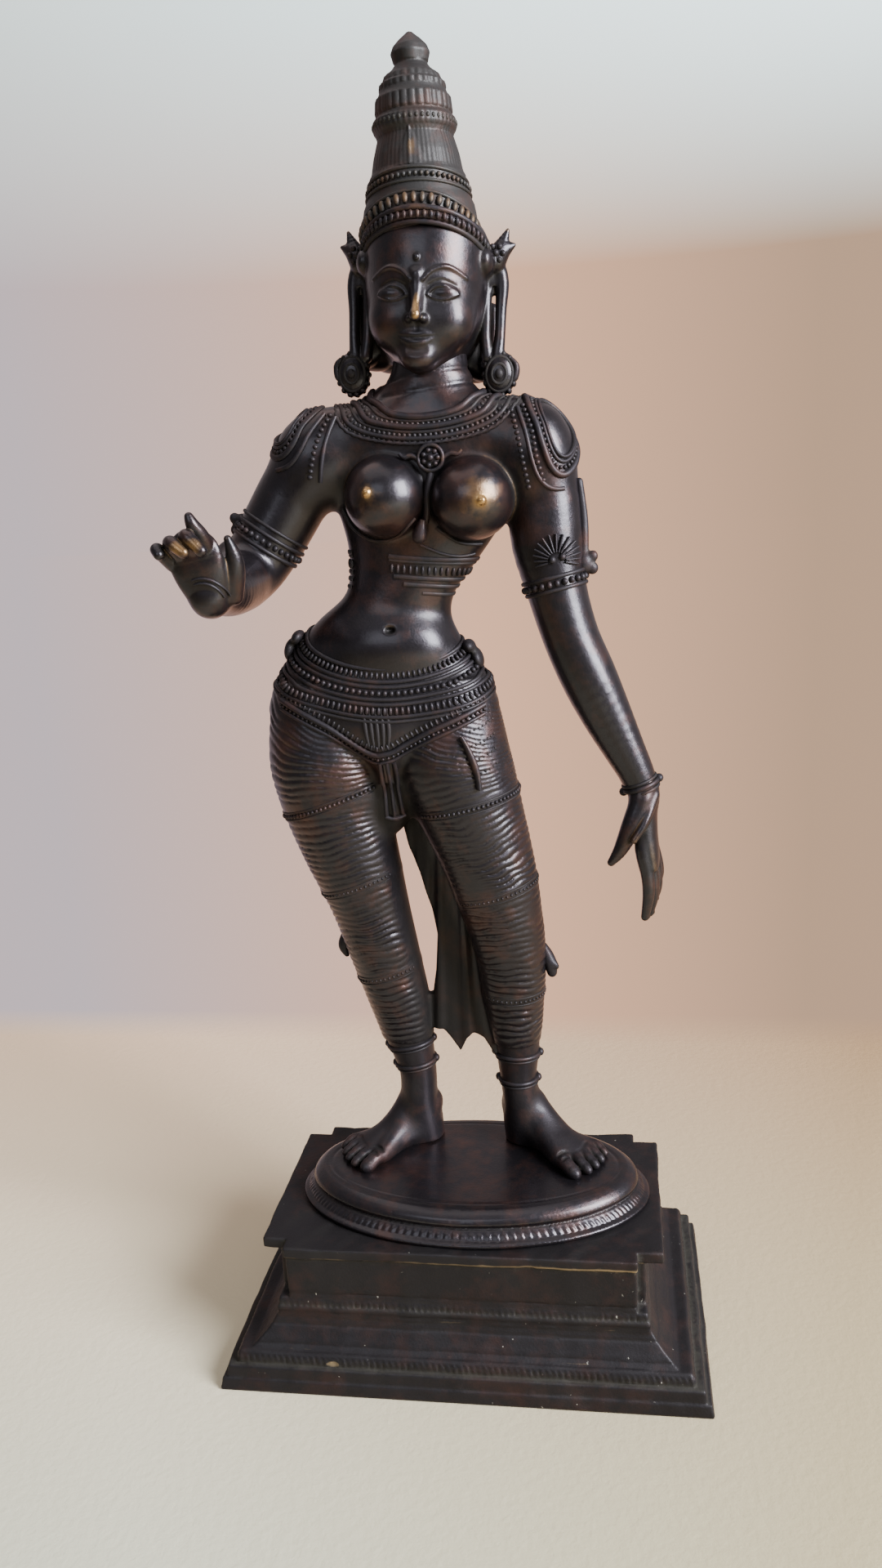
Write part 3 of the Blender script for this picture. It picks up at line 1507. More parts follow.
        def between(places: Array) -> Array:
            """Soot between the legs and on the tail.

            Args:
                places: points of the mesh, in millimetres.

            Returns:
                The soot.
            """
            x, y, z = places.T
            middle = np.interp(z, (90, 120, 170, 200), (-5, -6, -14.5, -16))
            half = np.interp(z, (90, 120, 170, 185), (13, 11, 5, 3))
            return 0.75 * np.clip((half - np.abs(x - middle)) / 3, 0, 1) * np.clip((186 - z) / 8, 0, 1)

        shop.sculpt("pleated_skirt", clay, SKIRT_BRONZE, 180000, shade=between)


@dataclass
class Head:
    """Head in its own frame: the middle of the chin at the origin, the face towards -Y.

    The face is a calm one of the maker's own, its hairline, brow, nose and chin at equal thirds.
    """

    third: float = 11.0
    place: Place = (2.2, 3.0, 297.5)
    lean: float = 4.0
    rows: Rows = (
        (-1.6, 0, 3, 0, 8, 3), (1.5, 0, 7, 0, 13.4, 9), (5.5, 0, 10.8, 0, 15.6, 13),
        (11, 0, 14.2, 0, 16.4, 15.5), (17.6, 0, 15.9, 0, 16.4, 17), (22, 0, 16.4, 0, 16.8, 17.6),
        (33, 0, 16.4, 0, 15.4, 17), (36, 0, 15, 0, 13.6, 15), (38, 0, 12.5, 0, 11.6, 12.6),
    )
    clay: Optional[Clay] = None

    def pose(self) -> Matrix:
        """Where the head's frame stands in the model's.

        Returns:
            The pose, in metres.
        """
        pivot = Vector((0, 0, 1.6 * self.third)) * MM
        place = Matrix.Translation(Vector(self.place) * MM + pivot)
        return place @ Matrix.Rotation(math.radians(self.lean), 4, "Y") @ Matrix.Translation(-pivot)

    def line(self, stops: Rows, lift: float = 0.0) -> Array:
        """Stops of X, Z and radius brought from the front onto the face.

        Args:
            stops: X, Z and radius of each.
            lift: how far in front of the face they go.

        Returns:
            X, Y, Z and radius of each.
        """
        table = np.asarray(stops, float)
        origins = np.stack([table[:, 0], np.full(len(table), -24.0), table[:, 1]], axis=1)
        met = self.clay.cast(origins, np.tile([0.0, 1.0, 0.0], (len(table), 1)), 24)
        met[:, 1] -= lift
        return np.column_stack([met, table[:, 2]])

    def ridge(self, stops: Rows, lift: float = 0.0, soft: float = 0.4) -> None:
        """Adds a raised line; each stop is X, Z and radius."""
        self.clay.add(Limb(self.line(stops, lift), 16), soft)

    def groove(self, stops: Rows, lift: float = 0.0, soft: float = 0.3) -> None:
        """Cuts a line; each stop is X, Z and radius."""
        self.clay.cut(Limb(self.line(stops, lift), 16), soft)

    def face(self) -> None:
        """Models the face."""
        clay, third = self.clay, self.third
        brow, eye, mouth = 2 * third, 1.66 * third, 0.66 * third
        clay.add(Ball((0, -12.9, 2.4), (4.6, 3.6, 3.4)), 3.5)
        for side in (-1, 1):
            clay.add(Ball((side * 8.0, -8.6, 11.6), (5.2, 6, 6.2)), 5)
            clay.cut(Ball((side * 6.8, -19.2, eye), (5.2, 3.6, 2.7)), 2.2)
            clay.add(Ball((side * 6.6, -12.9, eye - 0.2), (4.0, 2.9, 2.3)), 0.6)
        self.ridge([(0, brow + 0.4, 1.3), (0, 1.7 * third, 1.35), (0, 1.3 * third, 1.6)], -0.2, 1.6)
        clay.add(Limb([(0, -16.2, 19.5, 0.9), (0, -17.8, 15.5, 1.1), (0, -19.2, third + 1.6, 1.4)], 12), 1.3)
        clay.add(Ball((0, -19.2, third + 1.2), (1.45, 1.5, 1.4)), 0.8)
        for side in (-1, 1):
            clay.add(Ball((side * 1.9, -16.4, third + 0.7), (1.1, 1.7, 1.1)), 1)
            clay.cut(Ball((side * 1.0, -18.4, third - 0.5), (0.5, 0.9, 0.6)), 0.3)
            upper = [(2.7, -0.5, 0.3), (4.5, 1.2, 0.42), (7.2, 1.5, 0.45), (10.6, -0.2, 0.3)]
            lower = [(2.9, -0.8, 0.25), (5.4, -1.7, 0.32), (8, -1.6, 0.32), (10.5, -0.5, 0.25)]
            crease = [(3.2, 1.6, 0.25), (6.4, 2.9, 0.3), (10, 1.6, 0.25)]
            for stops in (upper, lower):
                self.ridge([(side * x, eye + z, radius) for x, z, radius in stops], 0.15)
            self.groove([(side * x, eye + z, radius) for x, z, radius in crease], 0.1)
            arch = [(1.6, -0.9, 0.4), (4.2, 1.5, 0.5), (8.0, 2.3, 0.5), (12.4, 0, 0.35)]
            self.ridge([(side * x, brow + z, radius) for x, z, radius in arch], 0.05, 0.5)
        self.groove([(0, third - 1.2, 0.45), (0, mouth + 2, 0.5)], 0.25, 0.6)
        upper_lip = [(-4.3, 0.5, 0.3), (-1.9, 0.9, 0.75), (0, 0.7, 0.75), (1.9, 0.9, 0.75), (4.3, 0.5, 0.3)]
        lower_lip = [
            (-3.6, -0.3, 0.35), (-1.6, -1.1, 0.85), (0, -1.25, 0.95), (1.6, -1.1, 0.85), (3.6, -0.3, 0.35),
        ]
        for lip in (upper_lip, lower_lip):
            self.ridge([(x, mouth + z, radius) for x, z, radius in lip], -0.3, 0.8)
        seam = [(-4.8, 0.45), (-2.2, 0), (0, -0.15), (2.2, 0), (4.8, 0.45)]
        self.groove([(x, mouth + z, 0.28) for x, z in seam], 0.1, 0.3)
        self.groove([(-2, 4.2, 0.5), (0, 3.9, 0.7), (2, 4.2, 0.5)], 0.35, 1.5)
        self.ridge([(0, 2.4 * third, 0.75), (0, 2.42 * third, 0.75)], 0.1)

    def ears(self) -> None:
        """Long pierced ears that touch the shoulders' ornaments."""
        for side in (-1, 1):
            rim = [
                (16.6, 1, 26.4, 1.9), (19.0, 1.8, 26.6, 2.0), (20.3, 2, 22.6, 1.9), (20.2, 1.6, 16, 1.55),
                (20.1, 1, 9, 1.5), (19.6, 0.6, 4.2, 1.9),
            ]
            lobe = [(16.8, 0.6, 4, 1.8), (16.2, 0.6, 9, 1.6), (16.2, 0.8, 15, 1.5), (16.0, 1.2, 20, 1.8)]
            for stops in (rim, lobe):
                self.clay.add(Limb([(side * x, y, z, radius) for x, y, z, radius in stops], 40), 0.5)
            self.clay.add(Ball((side * 17.2, 2.4, 23), (2.8, 2.4, 3.6)), 1)
            self.clay.add(Ball((side * 20.4, 0.8, -0.6), (4.6, 3.3, 5.9), (0, side * 8, 0)), 0.8)
            for y in (-0.8, 0.6, 2, 3.4):
                slit = [(18.3, y, 21.4, 0.5), (18.1, y, 15, 0.6), (18.0, y, 8.6, 0.5)]
                self.clay.cut(Limb([(side * x, y, z, radius) for x, y, z, radius in slit], 12), 0.2)
            self.clay.add(Ball((side * 16.4, -2.4, 27.4), (2.2, 4.4, 3.6)), 1.5)
            for x, z, radius in ((21.6, 35.6, 0.5), (23.4, 32.0, 0.5)):
                flame = [(18.2, 28, 3.0), (18.8 + 0.3 * (x - 19), 30.6, 2.4), (x, z, radius)]
                self.clay.add(Limb([(side * across, 1, up, size) for across, up, size in flame], 12), 0.5)

    def hair(self) -> None:
        """Hair combed down behind the ears."""
        self.clay.add(Ball((0, 4.6, 17), (15.8, 14.4, 18)), 3)
        nape = [(-17.5, 9.5, 5.6, 4.4), (-12, 11, 5.6, 5), (0, 13, 5, 6)]
        self.clay.add(Limb([*nape, (12, 11, 3, 5), (17.5, 9.5, 2.6, 4.4)], 30), 3)
        self.clay.add(Limb([(-17.4, 5.6, 23, 2.6), (-17.6, 6.4, 14, 3), (-17.4, 8, 6, 3.4)], 20), 2)
        self.clay.add(Limb([(17.4, 7, 16, 2.2), (17.4, 8, 10, 2.8), (17.4, 9, 4, 3.2)], 20), 2)

        def strands(x: Array, y: Array, z: Array) -> Array:
            """Height of the locks at each place.

            Args:
                x: places across.
                y: places in depth.
                z: heights.

            Returns:
                The height.
            """
            behind = np.clip((y - 3.5) / 2, 0, 1)
            turn = np.arctan2(y, x) + 0.02 * ripple(x, y, z, 12, 5)
            return behind * (0.45 * np.abs(np.sin(15 * turn)) ** 0.7 - 0.25)

        self.clay.raise_by(strands, (-18.5, 3, -3), (18.5, 23, 37))

    def jewels(self, shop: Workshop) -> None:
        """Earrings and the rosettes over the ears.

        Args:
            shop: where it is made.
        """
        jewels = Jewels(self.clay)
        for side in (-1, 1):
            for face, y in ((-1, -1.9), (1, 3.6)):
                for share, size in ((0.8, 0.55), (0.45, 0.5)):
                    middle = (side * 20.4, 0.8 + 3.1 * face * math.sqrt(1 - share * share), -0.6)
                    loop = ring(middle, (side * 4.4 * share, 5.6 * share), 18)
                    jewels.tube([(*place, size) for place in loop], True, 60)
                for place in ring((side * 20.4, 0.8 + 0.9 * face, -0.6), (side * 4.2, 5.4), 14):
                    jewels.ball(place, (0.75, 1.1, 0.85))
                jewels.ball((side * 20.4, 0.8 + 3.0 * face, -0.6), (1.2, 0.9, 1.4))
                curl = [(23.4, 3.4, 0.6), (24.9, 1.6, 0.8), (24.6, -1.4, 0.8), (23.2, -2.4, 0.5)]
                jewels.tube([(side * x, 0.4 * y, z, radius) for x, z, radius in curl])
            for place in ring((side * 18.8, -1.5, 29.6), (1.9, 1.9), 6):
                jewels.ball(place, (0.8, 0.8, 0.8))
            jewels.ball((side * 18.8, -2.0, 29.6), (0.9, 0.9, 0.9))
        shop.set_jewels("earrings_and_rosettes", jewels, JEWEL_BRONZE, 1.2, self.pose())

    def diadem(self, shop: Workshop) -> None:
        """Band of the crown that rises over the forehead.

        Args:
            shop: where it is made.
        """
        jewels = Jewels(self.clay)

        def row(out: float, rise: float) -> Array:
            """Closed line around the head at a distance out and a height above the band's foot.

            Args:
                out: distance out.
                rise: height above the foot.

            Returns:
                Places of the line.
            """
            angles = TAU * np.arange(120) / 120
            front = np.maximum(0, -np.sin(angles))
            y = np.where(np.sin(angles) < 0, 14.6 + out, 16.2 + out) * np.sin(angles)
            return np.stack([(15.6 + out) * np.cos(angles), y, 27.0 + rise + 8.0 * front], axis=1)

        for out, rise, radius in ((1.0, 0, 0.75), (1.2, 3.3, 0.75), (0.6, 1.6, 1.3)):
            jewels.tube(np.column_stack([row(out, rise), np.full(120, radius)]), True, 120)
        for place in evenly(row(1.9, 1.65), 1.75, True):
            jewels.ball(place, (0.62, 0.62, 1.05))
        shop.set_jewels("diadem", jewels, JEWEL_BRONZE, 2.2, self.pose())

    def build(self, shop: Workshop) -> None:
        """Makes the pieces.

        Args:
            shop: where it is made.
        """
        self.clay = Clay((-28, -24, -12), (28, 23, 43), 0.3)
        self.clay.add(Column(self.rows))
        self.face()
        self.hair()
        self.ears()

        def rubbed(places: Array) -> Array:
            """Extra wear of the nose, lips and chin."""
            nose = [((0.3, -20.4 + 0.45 * i, 12 + 1.4 * i), 1.15, 0.75 - 0.1 * i) for i in range(5)]
            return spots(places, nose + [((1, -15, 0.5), 3, 0.3), ((0, -17, 6), 2, 0.1)])

        shop.sculpt("head", self.clay, FIGURE_BRONZE, 108000, rubbed, self.pose(), edges=0.5)
        self.jewels(shop)
        self.diadem(shop)


@dataclass
class Crown:
    """Tall crown of stacked mouldings under a bud."""

    x: float = 1.7
    y: float = 3.6
    profile: Rows = (
        (328, 13.0), (329, 15.2), (333, 15.6), (336.5, 15.2), (338.6, 14.8), (340.6, 13.9), (343, 13.2),
        (346.0, 12.8), (347.2, 12.0), (351, 11.3), (355.4, 10.0), (356.4, 10.4), (357.4, 10.9),
        (359.4, 10.9), (360.2, 10.2), (360.8, 9.8), (361.4, 10.1), (364.6, 9.8), (365.6, 9.1),
        (366.6, 8.7), (368.0, 8.6), (368.6, 7.8), (370.0, 7.2), (370.7, 6.3), (371.6, 5.2), (372.8, 4.3),
        (374.0, 4.6), (375.4, 5.0), (377.0, 4.3), (378.6, 2.7), (379.8, 1.2), (380.5, 0.4),
    )
    leaves: int = 8
    petals: tuple = (
        (360.8, 364.8, 0.4, 15, 0.6, 0.2), (366.6, 368.4, 0.3, 14, 1, 0.1), (368.8, 370.4, 0.3, 12, 1, 0.1),
        (356.6, 360, 0.14, 24, 1, 0),
    )

    def relief(self, dx: Array, dy: Array, z: Array) -> Array:
        """Rise of the pointed leaves, petals and grooves at each place.

        Args:
            dx: places across from the middle.
            dy: places in depth from the middle.
            z: heights.

        Returns:
            The rise.
        """
        turn = np.arctan2(dy, dx) + math.pi / 2
        share = (z - 346.8) / 9.4
        cell = (turn / TAU * self.leaves + 0.5) % 1 - 0.5
        inside = (share > 0) & (share < 1)
        width = 0.44 * np.clip(1 - share, 0, 1) ** 0.75
        edge = np.abs(cell) / np.maximum(width, 0.01)
        front = np.where(np.abs(turn) < math.pi / self.leaves, 1.0, 0.3)
        leaf = 0.28 * front * np.clip((1.1 - edge) * 2, 0, 1) + 0.25 * front * bell(edge, 0, 0.2)
        rise = np.where(inside, leaf + 0.05 * np.cos(60 * turn), 0)
        for low, high, petal, count, power, sunk in self.petals:
            petals = petal * np.abs(np.sin(count * turn)) ** power - sunk
            rise = rise + np.where((z > low) & (z < high), petals, 0)
        return rise + np.where((z > 373.2), 0.35 * np.abs(np.cos(2.5 * turn)) - 0.1, 0)

    def build(self, shop: Workshop) -> None:
        """Makes the pieces.

        Args:
            shop: where it is made.
        """
        rows = [(z, self.x, radius, self.y, radius, radius) for z, radius in self.profile]
        clay = Clay((self.x - 18, self.y - 18, 326), (self.x + 18, self.y + 18, 382), 0.28)
        clay.add(Column(rows, self.relief, True))
        soft = Clay((self.x - 20, self.y - 20, 326), (self.x + 20, self.y + 20, 384), 0.5)
        soft.add(Column(rows, None, True))

        def rubbed(places: Array) -> Array:
            """Extra wear of the front leaf."""
            return spots(places, [((self.x + 0.3, self.y - 11.5, 351), (1.9, 4, 4.0), 0.9)])

        shop.sculpt("crown", clay, CROWN_BRONZE, 85000, rubbed)
        jewels = Jewels(soft)

        def row(side: float, front: float) -> Array:
            """Closed line around the crown at a height at the sides and in front.

            Args:
                side: height at the sides and behind.
                front: height in front.

            Returns:
                Places on the surface.
            """

            def middle(angles: Array) -> Array:
                """Places on the axis."""
                rise = (front - side) * np.maximum(0, -np.sin(angles)) ** 1.4
                return np.stack([0 * rise + self.x, 0 * rise + self.y, side + rise], axis=1)

            return jewels.around(middle, 30)

        cords = ((330.2, 336.4, 0.5), (333.6, 340.2, 0.45), (340.8, 342.8, 0.4), (344.0, 346.0, 0.45))
        for side, front, wide in cords:
            jewels.cord(row(side, front), wide, closed=True)
        jewels.beads(row(331.8, 338.4), 0.85, 2.2, True, (1.0, 1.0, 1.8), 0.4)
        jewels.beads(row(342.4, 344.4), 0.6, 1.5, True, (1, 1, 1.2), 0.5)
        jewels.beads(row(358.4, 358.4), 0.42, 1.5, True, (1.2, 1, 1.6), 0.1)
        shop.set_jewels("crown_beads", jewels, CROWN_BRONZE, 1.0)


@dataclass
class Hands:
    """Both hands from the wrists, the left hanging and the right raised with curled fingers."""

    left_palm: Rows = (
        (57.0, 0, 183, 4.9, 5.3), (58.2, 0, 177, 4.6, 5.2), (58.2, 0, 171.5, 3.9, 5.6),
        (58.5, 0, 165.5, 3.6, 6.2), (59.5, 0, 160, 3.0, 6.5), (60.1, 0, 156, 2.3, 6.4),
    )
    left_fingers: tuple = (
        (
            (57.8, -3.0, 168, 2.3), (57.6, -4.6, 161, 2.3), (58.8, -5.1, 153.5, 1.9),
            (59.0, -5.1, 147.5, 1.75), (57.9, -5, 140.8, 1.2),
        ),
        ((58.9, -1.7, 161, 2.2), (60.3, -1.8, 153, 1.9), (60.4, -1.7, 146.5, 1.75), (59.3, -1.6, 140.8, 1.2)),
        ((60.0, 1.7, 161, 2.1), (61.4, 1.8, 153.5, 1.85), (61.6, 1.9, 148, 1.65), (60.7, 2, 143.8, 1.2)),
        ((60.4, 4.8, 160.5, 2.0), (62.0, 5, 154.6, 1.7), (62.4, 5, 151, 1.5), (61.9, 5, 148, 1.1)),
    )
    left_thumb: Rows = (
        (57.2, -3, 176, 3.0), (54.6, -4.4, 169, 3.0), (51.2, -5.2, 161.8, 2.1), (48.4, -5.6, 158.0, 1.15),
    )
    left_ridge: Rows = ((61.6, -2.4, 177.4, 0.9), (58.4, -6.4, 170.6, 1.1), (55.0, -8.2, 165.4, 1.0))
    right_palm: Rows = (
        (-51.7, -37, 243, 5.2, 5.2), (-51.6, -42, 242.5, 5.1, 5), (-51.8, -43.6, 246, 6.1, 3.7),
        (-52.4, -45.2, 250, 7.0, 2.8), (-53.0, -46.4, 253.4, 7.2, 2.3),
    )
    right_fingers: tuple = (
        (
            (-59.0, -46.2, 252, 1.9), (-60.3, -49.6, 255.0, 1.85), (-60.2, -52.4, 256, 1.65),
            (-59.2, -53.8, 254.8, 1.4),
        ),
        (
            (-56.0, -46.4, 253.4, 2.0), (-57.0, -50.2, 256.6, 1.95), (-55.9, -53.4, 257.4, 1.8),
            (-52.6, -54.6, 255, 1.45),
        ),
        (
            (-52.6, -46.4, 254.2, 2.0), (-53.0, -50.2, 257.8, 2.0), (-51.6, -53.4, 258.6, 1.85),
            (-48.2, -54.2, 255.2, 1.5),
        ),
        (
            (-49.4, -46, 254.4, 2.1), (-49.6, -49, 258.4, 2.0), (-50.8, -51, 261.4, 1.7),
            (-51.4, -51.4, 263.4, 1.15),
        ),
    )
    right_thumb: Rows = (
        (-45.8, -40.4, 243, 2.6), (-44.2, -42.2, 248.6, 2.6), (-43.6, -43.4, 252.6, 2.1),
        (-44.3, -45, 257.4, 1.0),
    )

    @staticmethod
    def fingers(clay: Clay, digits: tuple, tips: Array) -> None:
        """Adds fingers with their nails.

        Args:
            clay: what they are added to.
            digits: the stops of each finger.
            tips: direction that the nails face.
        """
        for digit in digits:
            clay.add(Limb(digit, 14), 0.35)
            last, before = np.array(digit[-1][:3]), np.array(digit[-2][:3])
            along = unit(last - before)
            face = unit(tips - along * (tips @ along))
            middle = last - along * 0.5 + face * 0.75
            clay.add(Ball(tuple(middle), (0.8, 0.8, 0.9)), 0.2)

    def build(self, shop: Workshop) -> None:
        """Makes the pieces.

        Args:
            shop: where it is made.
        """
        left = Clay((44, -12, 134), (68, 12, 188), 0.28)
        left.add(Limb(self.left_palm, 20))
        left.add(Limb(self.left_thumb, 16), 1.8)
        left.add(Limb(self.left_ridge, 16), 1)
        self.fingers(left, self.left_fingers, np.array([1.0, 0, 0]))
        left.trim(2, 182, False)
        shop.sculpt("left_hand", left, FIGURE_BRONZE, 27000)
        right = Clay((-68, -60, 230), (-40, -30, 270), 0.28)
        right.add(Limb(self.right_palm, 20))
        right.add(Limb(self.right_thumb, 16), 1.4)
        self.fingers(right, self.right_fingers, np.array([0, 1.0, 0]))
        for crease in (
            [(-56.6, -50.6, 249.6, 1.4), (-52.4, -51.6, 248.4, 1.4), (-48.4, -50.4, 248, 1.4)],
            [(-55.6, -49.6, 246.6, 1.3), (-52.6, -50, 247, 1.3), (-50, -49.6, 246.6, 1.3)],
        ):
            right.cut(Limb(crease, 12), 0.4)
        right.trim(1, -36.6, False)

        def rubbed(places: Array) -> Array:
            """Extra wear of the middle joints of the fingers."""
            return spots(places, [((-54, -55.4, 256), 2.6, 0.7), ((-49.6, -55.2, 256.6), 2.6, 0.7)])

        shop.sculpt("right_hand", right, FIGURE_BRONZE, 28000, rubbed)
        jewels = Jewels(right)
        angles = np.radians(np.linspace(112, 8, 12))
        for radius in (4.7, 5.9):
            stops = [(-51.5 + radius * math.cos(a), 242.4 + radius * math.sin(a)) for a in angles]
            jewels.cord(jewels.front(stops, 0.5), 0.42, 0.5, taper=0.5)
        shop.set_jewels("wrist_rings", jewels, JEWEL_BRONZE)


@dataclass
class Feet:
    """Both feet and the bare shins above them."""

    ground: float = 54.4
    right: tuple = ((-14.4, 21.8), (-34, 0.6), 1)
    left: tuple = ((14.4, 22.8), (36.3, 0.6), -1)
    right_shin: Rows = (
        (99, -20.2, 8.3, 13.4, 8.2, 8.6), (95, -19.6, 8.0, 13.5, 7.9, 8.2),
        (87, -18.2, 7.0, 14, 7.1, 7.4), (79, -17.1, 6.1, 14.5, 6.5, 6.9), (70, -17.2, 6.1, 15, 7, 7.2),
        (62, -16.6, 6.4, 15.6, 7.2, 7.4), (55, -16, 6.2, 15.8, 6.8, 7),
    )
    left_shin: Rows = (
        (99, 16.2, 8.2, 12.6, 8.2, 8.6), (95, 16.4, 7.7, 13, 7.8, 8.2), (87, 16.6, 7.0, 13.7, 7, 7.4),
        (79, 16.4, 6.1, 14.3, 6.5, 6.9), (70, 16.9, 6.0, 15, 7, 7.2), (62, 17, 6.3, 15.6, 7.2, 7.4),
        (55, 17.2, 6.1, 15.8, 6.8, 7),
    )
    toes: tuple = (
        (28, 36.4, 6.6, 2.3), (29.5, 37.6, 2.2, 1.75), (29.2, 37.2, -1.5, 1.65), (28.2, 36, -5.0, 1.6),
        (26.8, 34, -8.4, 1.5),
    )
    clay: Optional[Clay] = None

    def foot(self, heel: tuple, ball: tuple, inner: int) -> None:
        """Models one foot.

        Args:
            heel: X and Y of the heel.
            ball: X and Y of the ball of the foot.
            inner: side of the big toe, 1 or -1.
        """
        ahead = np.array([ball[0] - heel[0], ball[1] - heel[1]])
        size = float(np.linalg.norm(ahead)) / 31.5
        ahead = ahead / np.linalg.norm(ahead)
        across = np.array([-ahead[1], ahead[0]]) * inner
        turn = math.degrees(math.atan2(ahead[1], ahead[0]))

        def at(u: float, v: float, w: float) -> Place:
            """Place from shares of the foot's own directions."""
            flat = np.array(heel) + ahead * u * size + across * v
            return float(flat[0]), float(flat[1]), self.ground + w

        for u, v, w, radii, pitch, soft in (
            (3.4, 0, 4.4, (5.4, 4.9, 5.2), 0, 0),
            (10, 0.4, 7.4, (9.5, 5.9, 8.2), 28, 4),
            (18.5, 0.2, 3.8, (10.5, 6.9, 5.2), 14, 4),
            (27, -1.0, 1.9, (7.2, 9.0, 3.7), 6, 3),
        ):
            self.clay.add(Ball(at(u, v, w), (radii[0] * size, *radii[1:]), (0, pitch, turn)), soft)
        instep = ((9, 1, 12.6, 2.6), (15, 2.4, 8.8, 2.2), (22, 4.2, 5.2, 2.0), (29, 6.2, 3, 2.0))
        self.clay.add(Limb([(*at(u, v, w), radius) for u, v, w, radius in instep], 20), 2.2)
        for start, end, v, radius in self.toes:
            stops = [
                (*at(start, 0.92 * v, 2.6), radius),
                (*at(0.5 * (start + end), v, 2.9), 0.98 * radius),
                (*at(end - 1.2, v, 1.7), radius),
                (*at(end, v, 1.5), 0.85 * radius),
            ]
            self.clay.add(Limb(stops, 12), 0.5)
            nail = at(end - 0.6, v, 1.5 + 0.82 * radius)
            self.clay.add(Ball(nail, (1.2, 0.72 * radius, 0.5), (0, 12, turn)), 0.15)
        for u in (30.6, 33.2):
            strap = [
                (*at(u + (0.6 if abs(v) < 4 else -1.2), v, 5.3), 0.75) for v in (8.8, 4.4, 2.2, -1.5, -5, -10)
            ]
            self.clay.cut(Limb(strap, 24), 0.3)

    def build(self, shop: Workshop) -> None:
        """Makes the piece.

        Args:
            shop: where it is made.
        """
        self.clay = Clay((-48, -18, 53), (52, 32, 101), 0.38)
        self.clay.add(Column(self.right_shin))
        self.clay.add(Column(self.left_shin))
        for side in (self.right, self.left):
            self.foot(*side)
        for x, y in ((-16.6, 15.6), (17.2, 15.6)):
            for side in (-1, 1):
                self.clay.add(Ball((x + side * 4.9, y + 1, 67), (1.6, 2.4, 2.4)), 2.5)
        self.clay.trim(2, self.ground, True)

        def rubbed(places: Array) -> Array:
            """Extra wear of the toes and insteps."""
            return 0.14 * np.clip((62 - places[:, 2]) / 6, 0, 1) * np.clip((6 - places[:, 1]) / 8, 0, 1)

        shop.sculpt("feet", self.clay, FOOT_BRONZE, 60000, rubbed)


@dataclass
class Pedestal:
    """Oval lotus pedestal with a bead row and a rounded band."""

    x: float = 1.8
    rows: Rows = (
        (45.0, 56.0, 31.9), (45.3, 56.4, 32.3), (46.2, 56.4, 32.3), (46.6, 55.6, 31.5),
        (46.8, 54.8, 30.7), (49.2, 52.6, 28.5), (49.4, 51.9, 27.8), (49.9, 52.6, 28.5),
        (51.0, 52.9, 28.8), (52.4, 52.2, 28.1), (53.6, 50.8, 26.7), (54.3, 49.4, 25.3),
        (54.6, 47.8, 23.8),
    )
    dashes: int = 138

    def build(self, shop: Workshop) -> None:
        """Makes the piece.

        Args:
            shop: where it is made.
        """

        def relief(dx: Array, dy: Array, z: Array) -> Array:
            """Rise of the bead row and of the casting's slight unevenness.

            Args:
                dx: places across from the middle.
                dy: places in depth from the middle.
                z: heights.

            Returns:
                The rise.
            """
            turn = np.arctan2(dy / 29, dx / 54)
            beads = np.abs(np.sin(0.5 * self.dashes * turn)) ** 0.7
            return bell(z, 47.8, 0.75, 4) * (0.5 * beads - 0.15) + 0.08 * ripple(dx, dy, z, 18, 21)

        rows = [(z, self.x, long, 0, deep, deep) for z, long, deep in self.rows]
        clay = Clay((-57.5, -35, 43), (61, 35, 57), 0.4)
        clay.add(Column(rows, relief, True))

        def engraved(x: Array, y: Array, z: Array) -> Array:
            """Depth of the line inside the rim."""
            far = np.sqrt(((x - self.x) / 48.6) ** 2 + (y / 23.8) ** 2)
            return -0.4 * bell(far, 0.965, 0.5 / 36) * (z > 53.6)

        clay.raise_by(engraved, (-57, -34, 53), (60, 34, 56))
        shop.sculpt("oval_pedestal", clay, BASE_BRONZE, 80000)


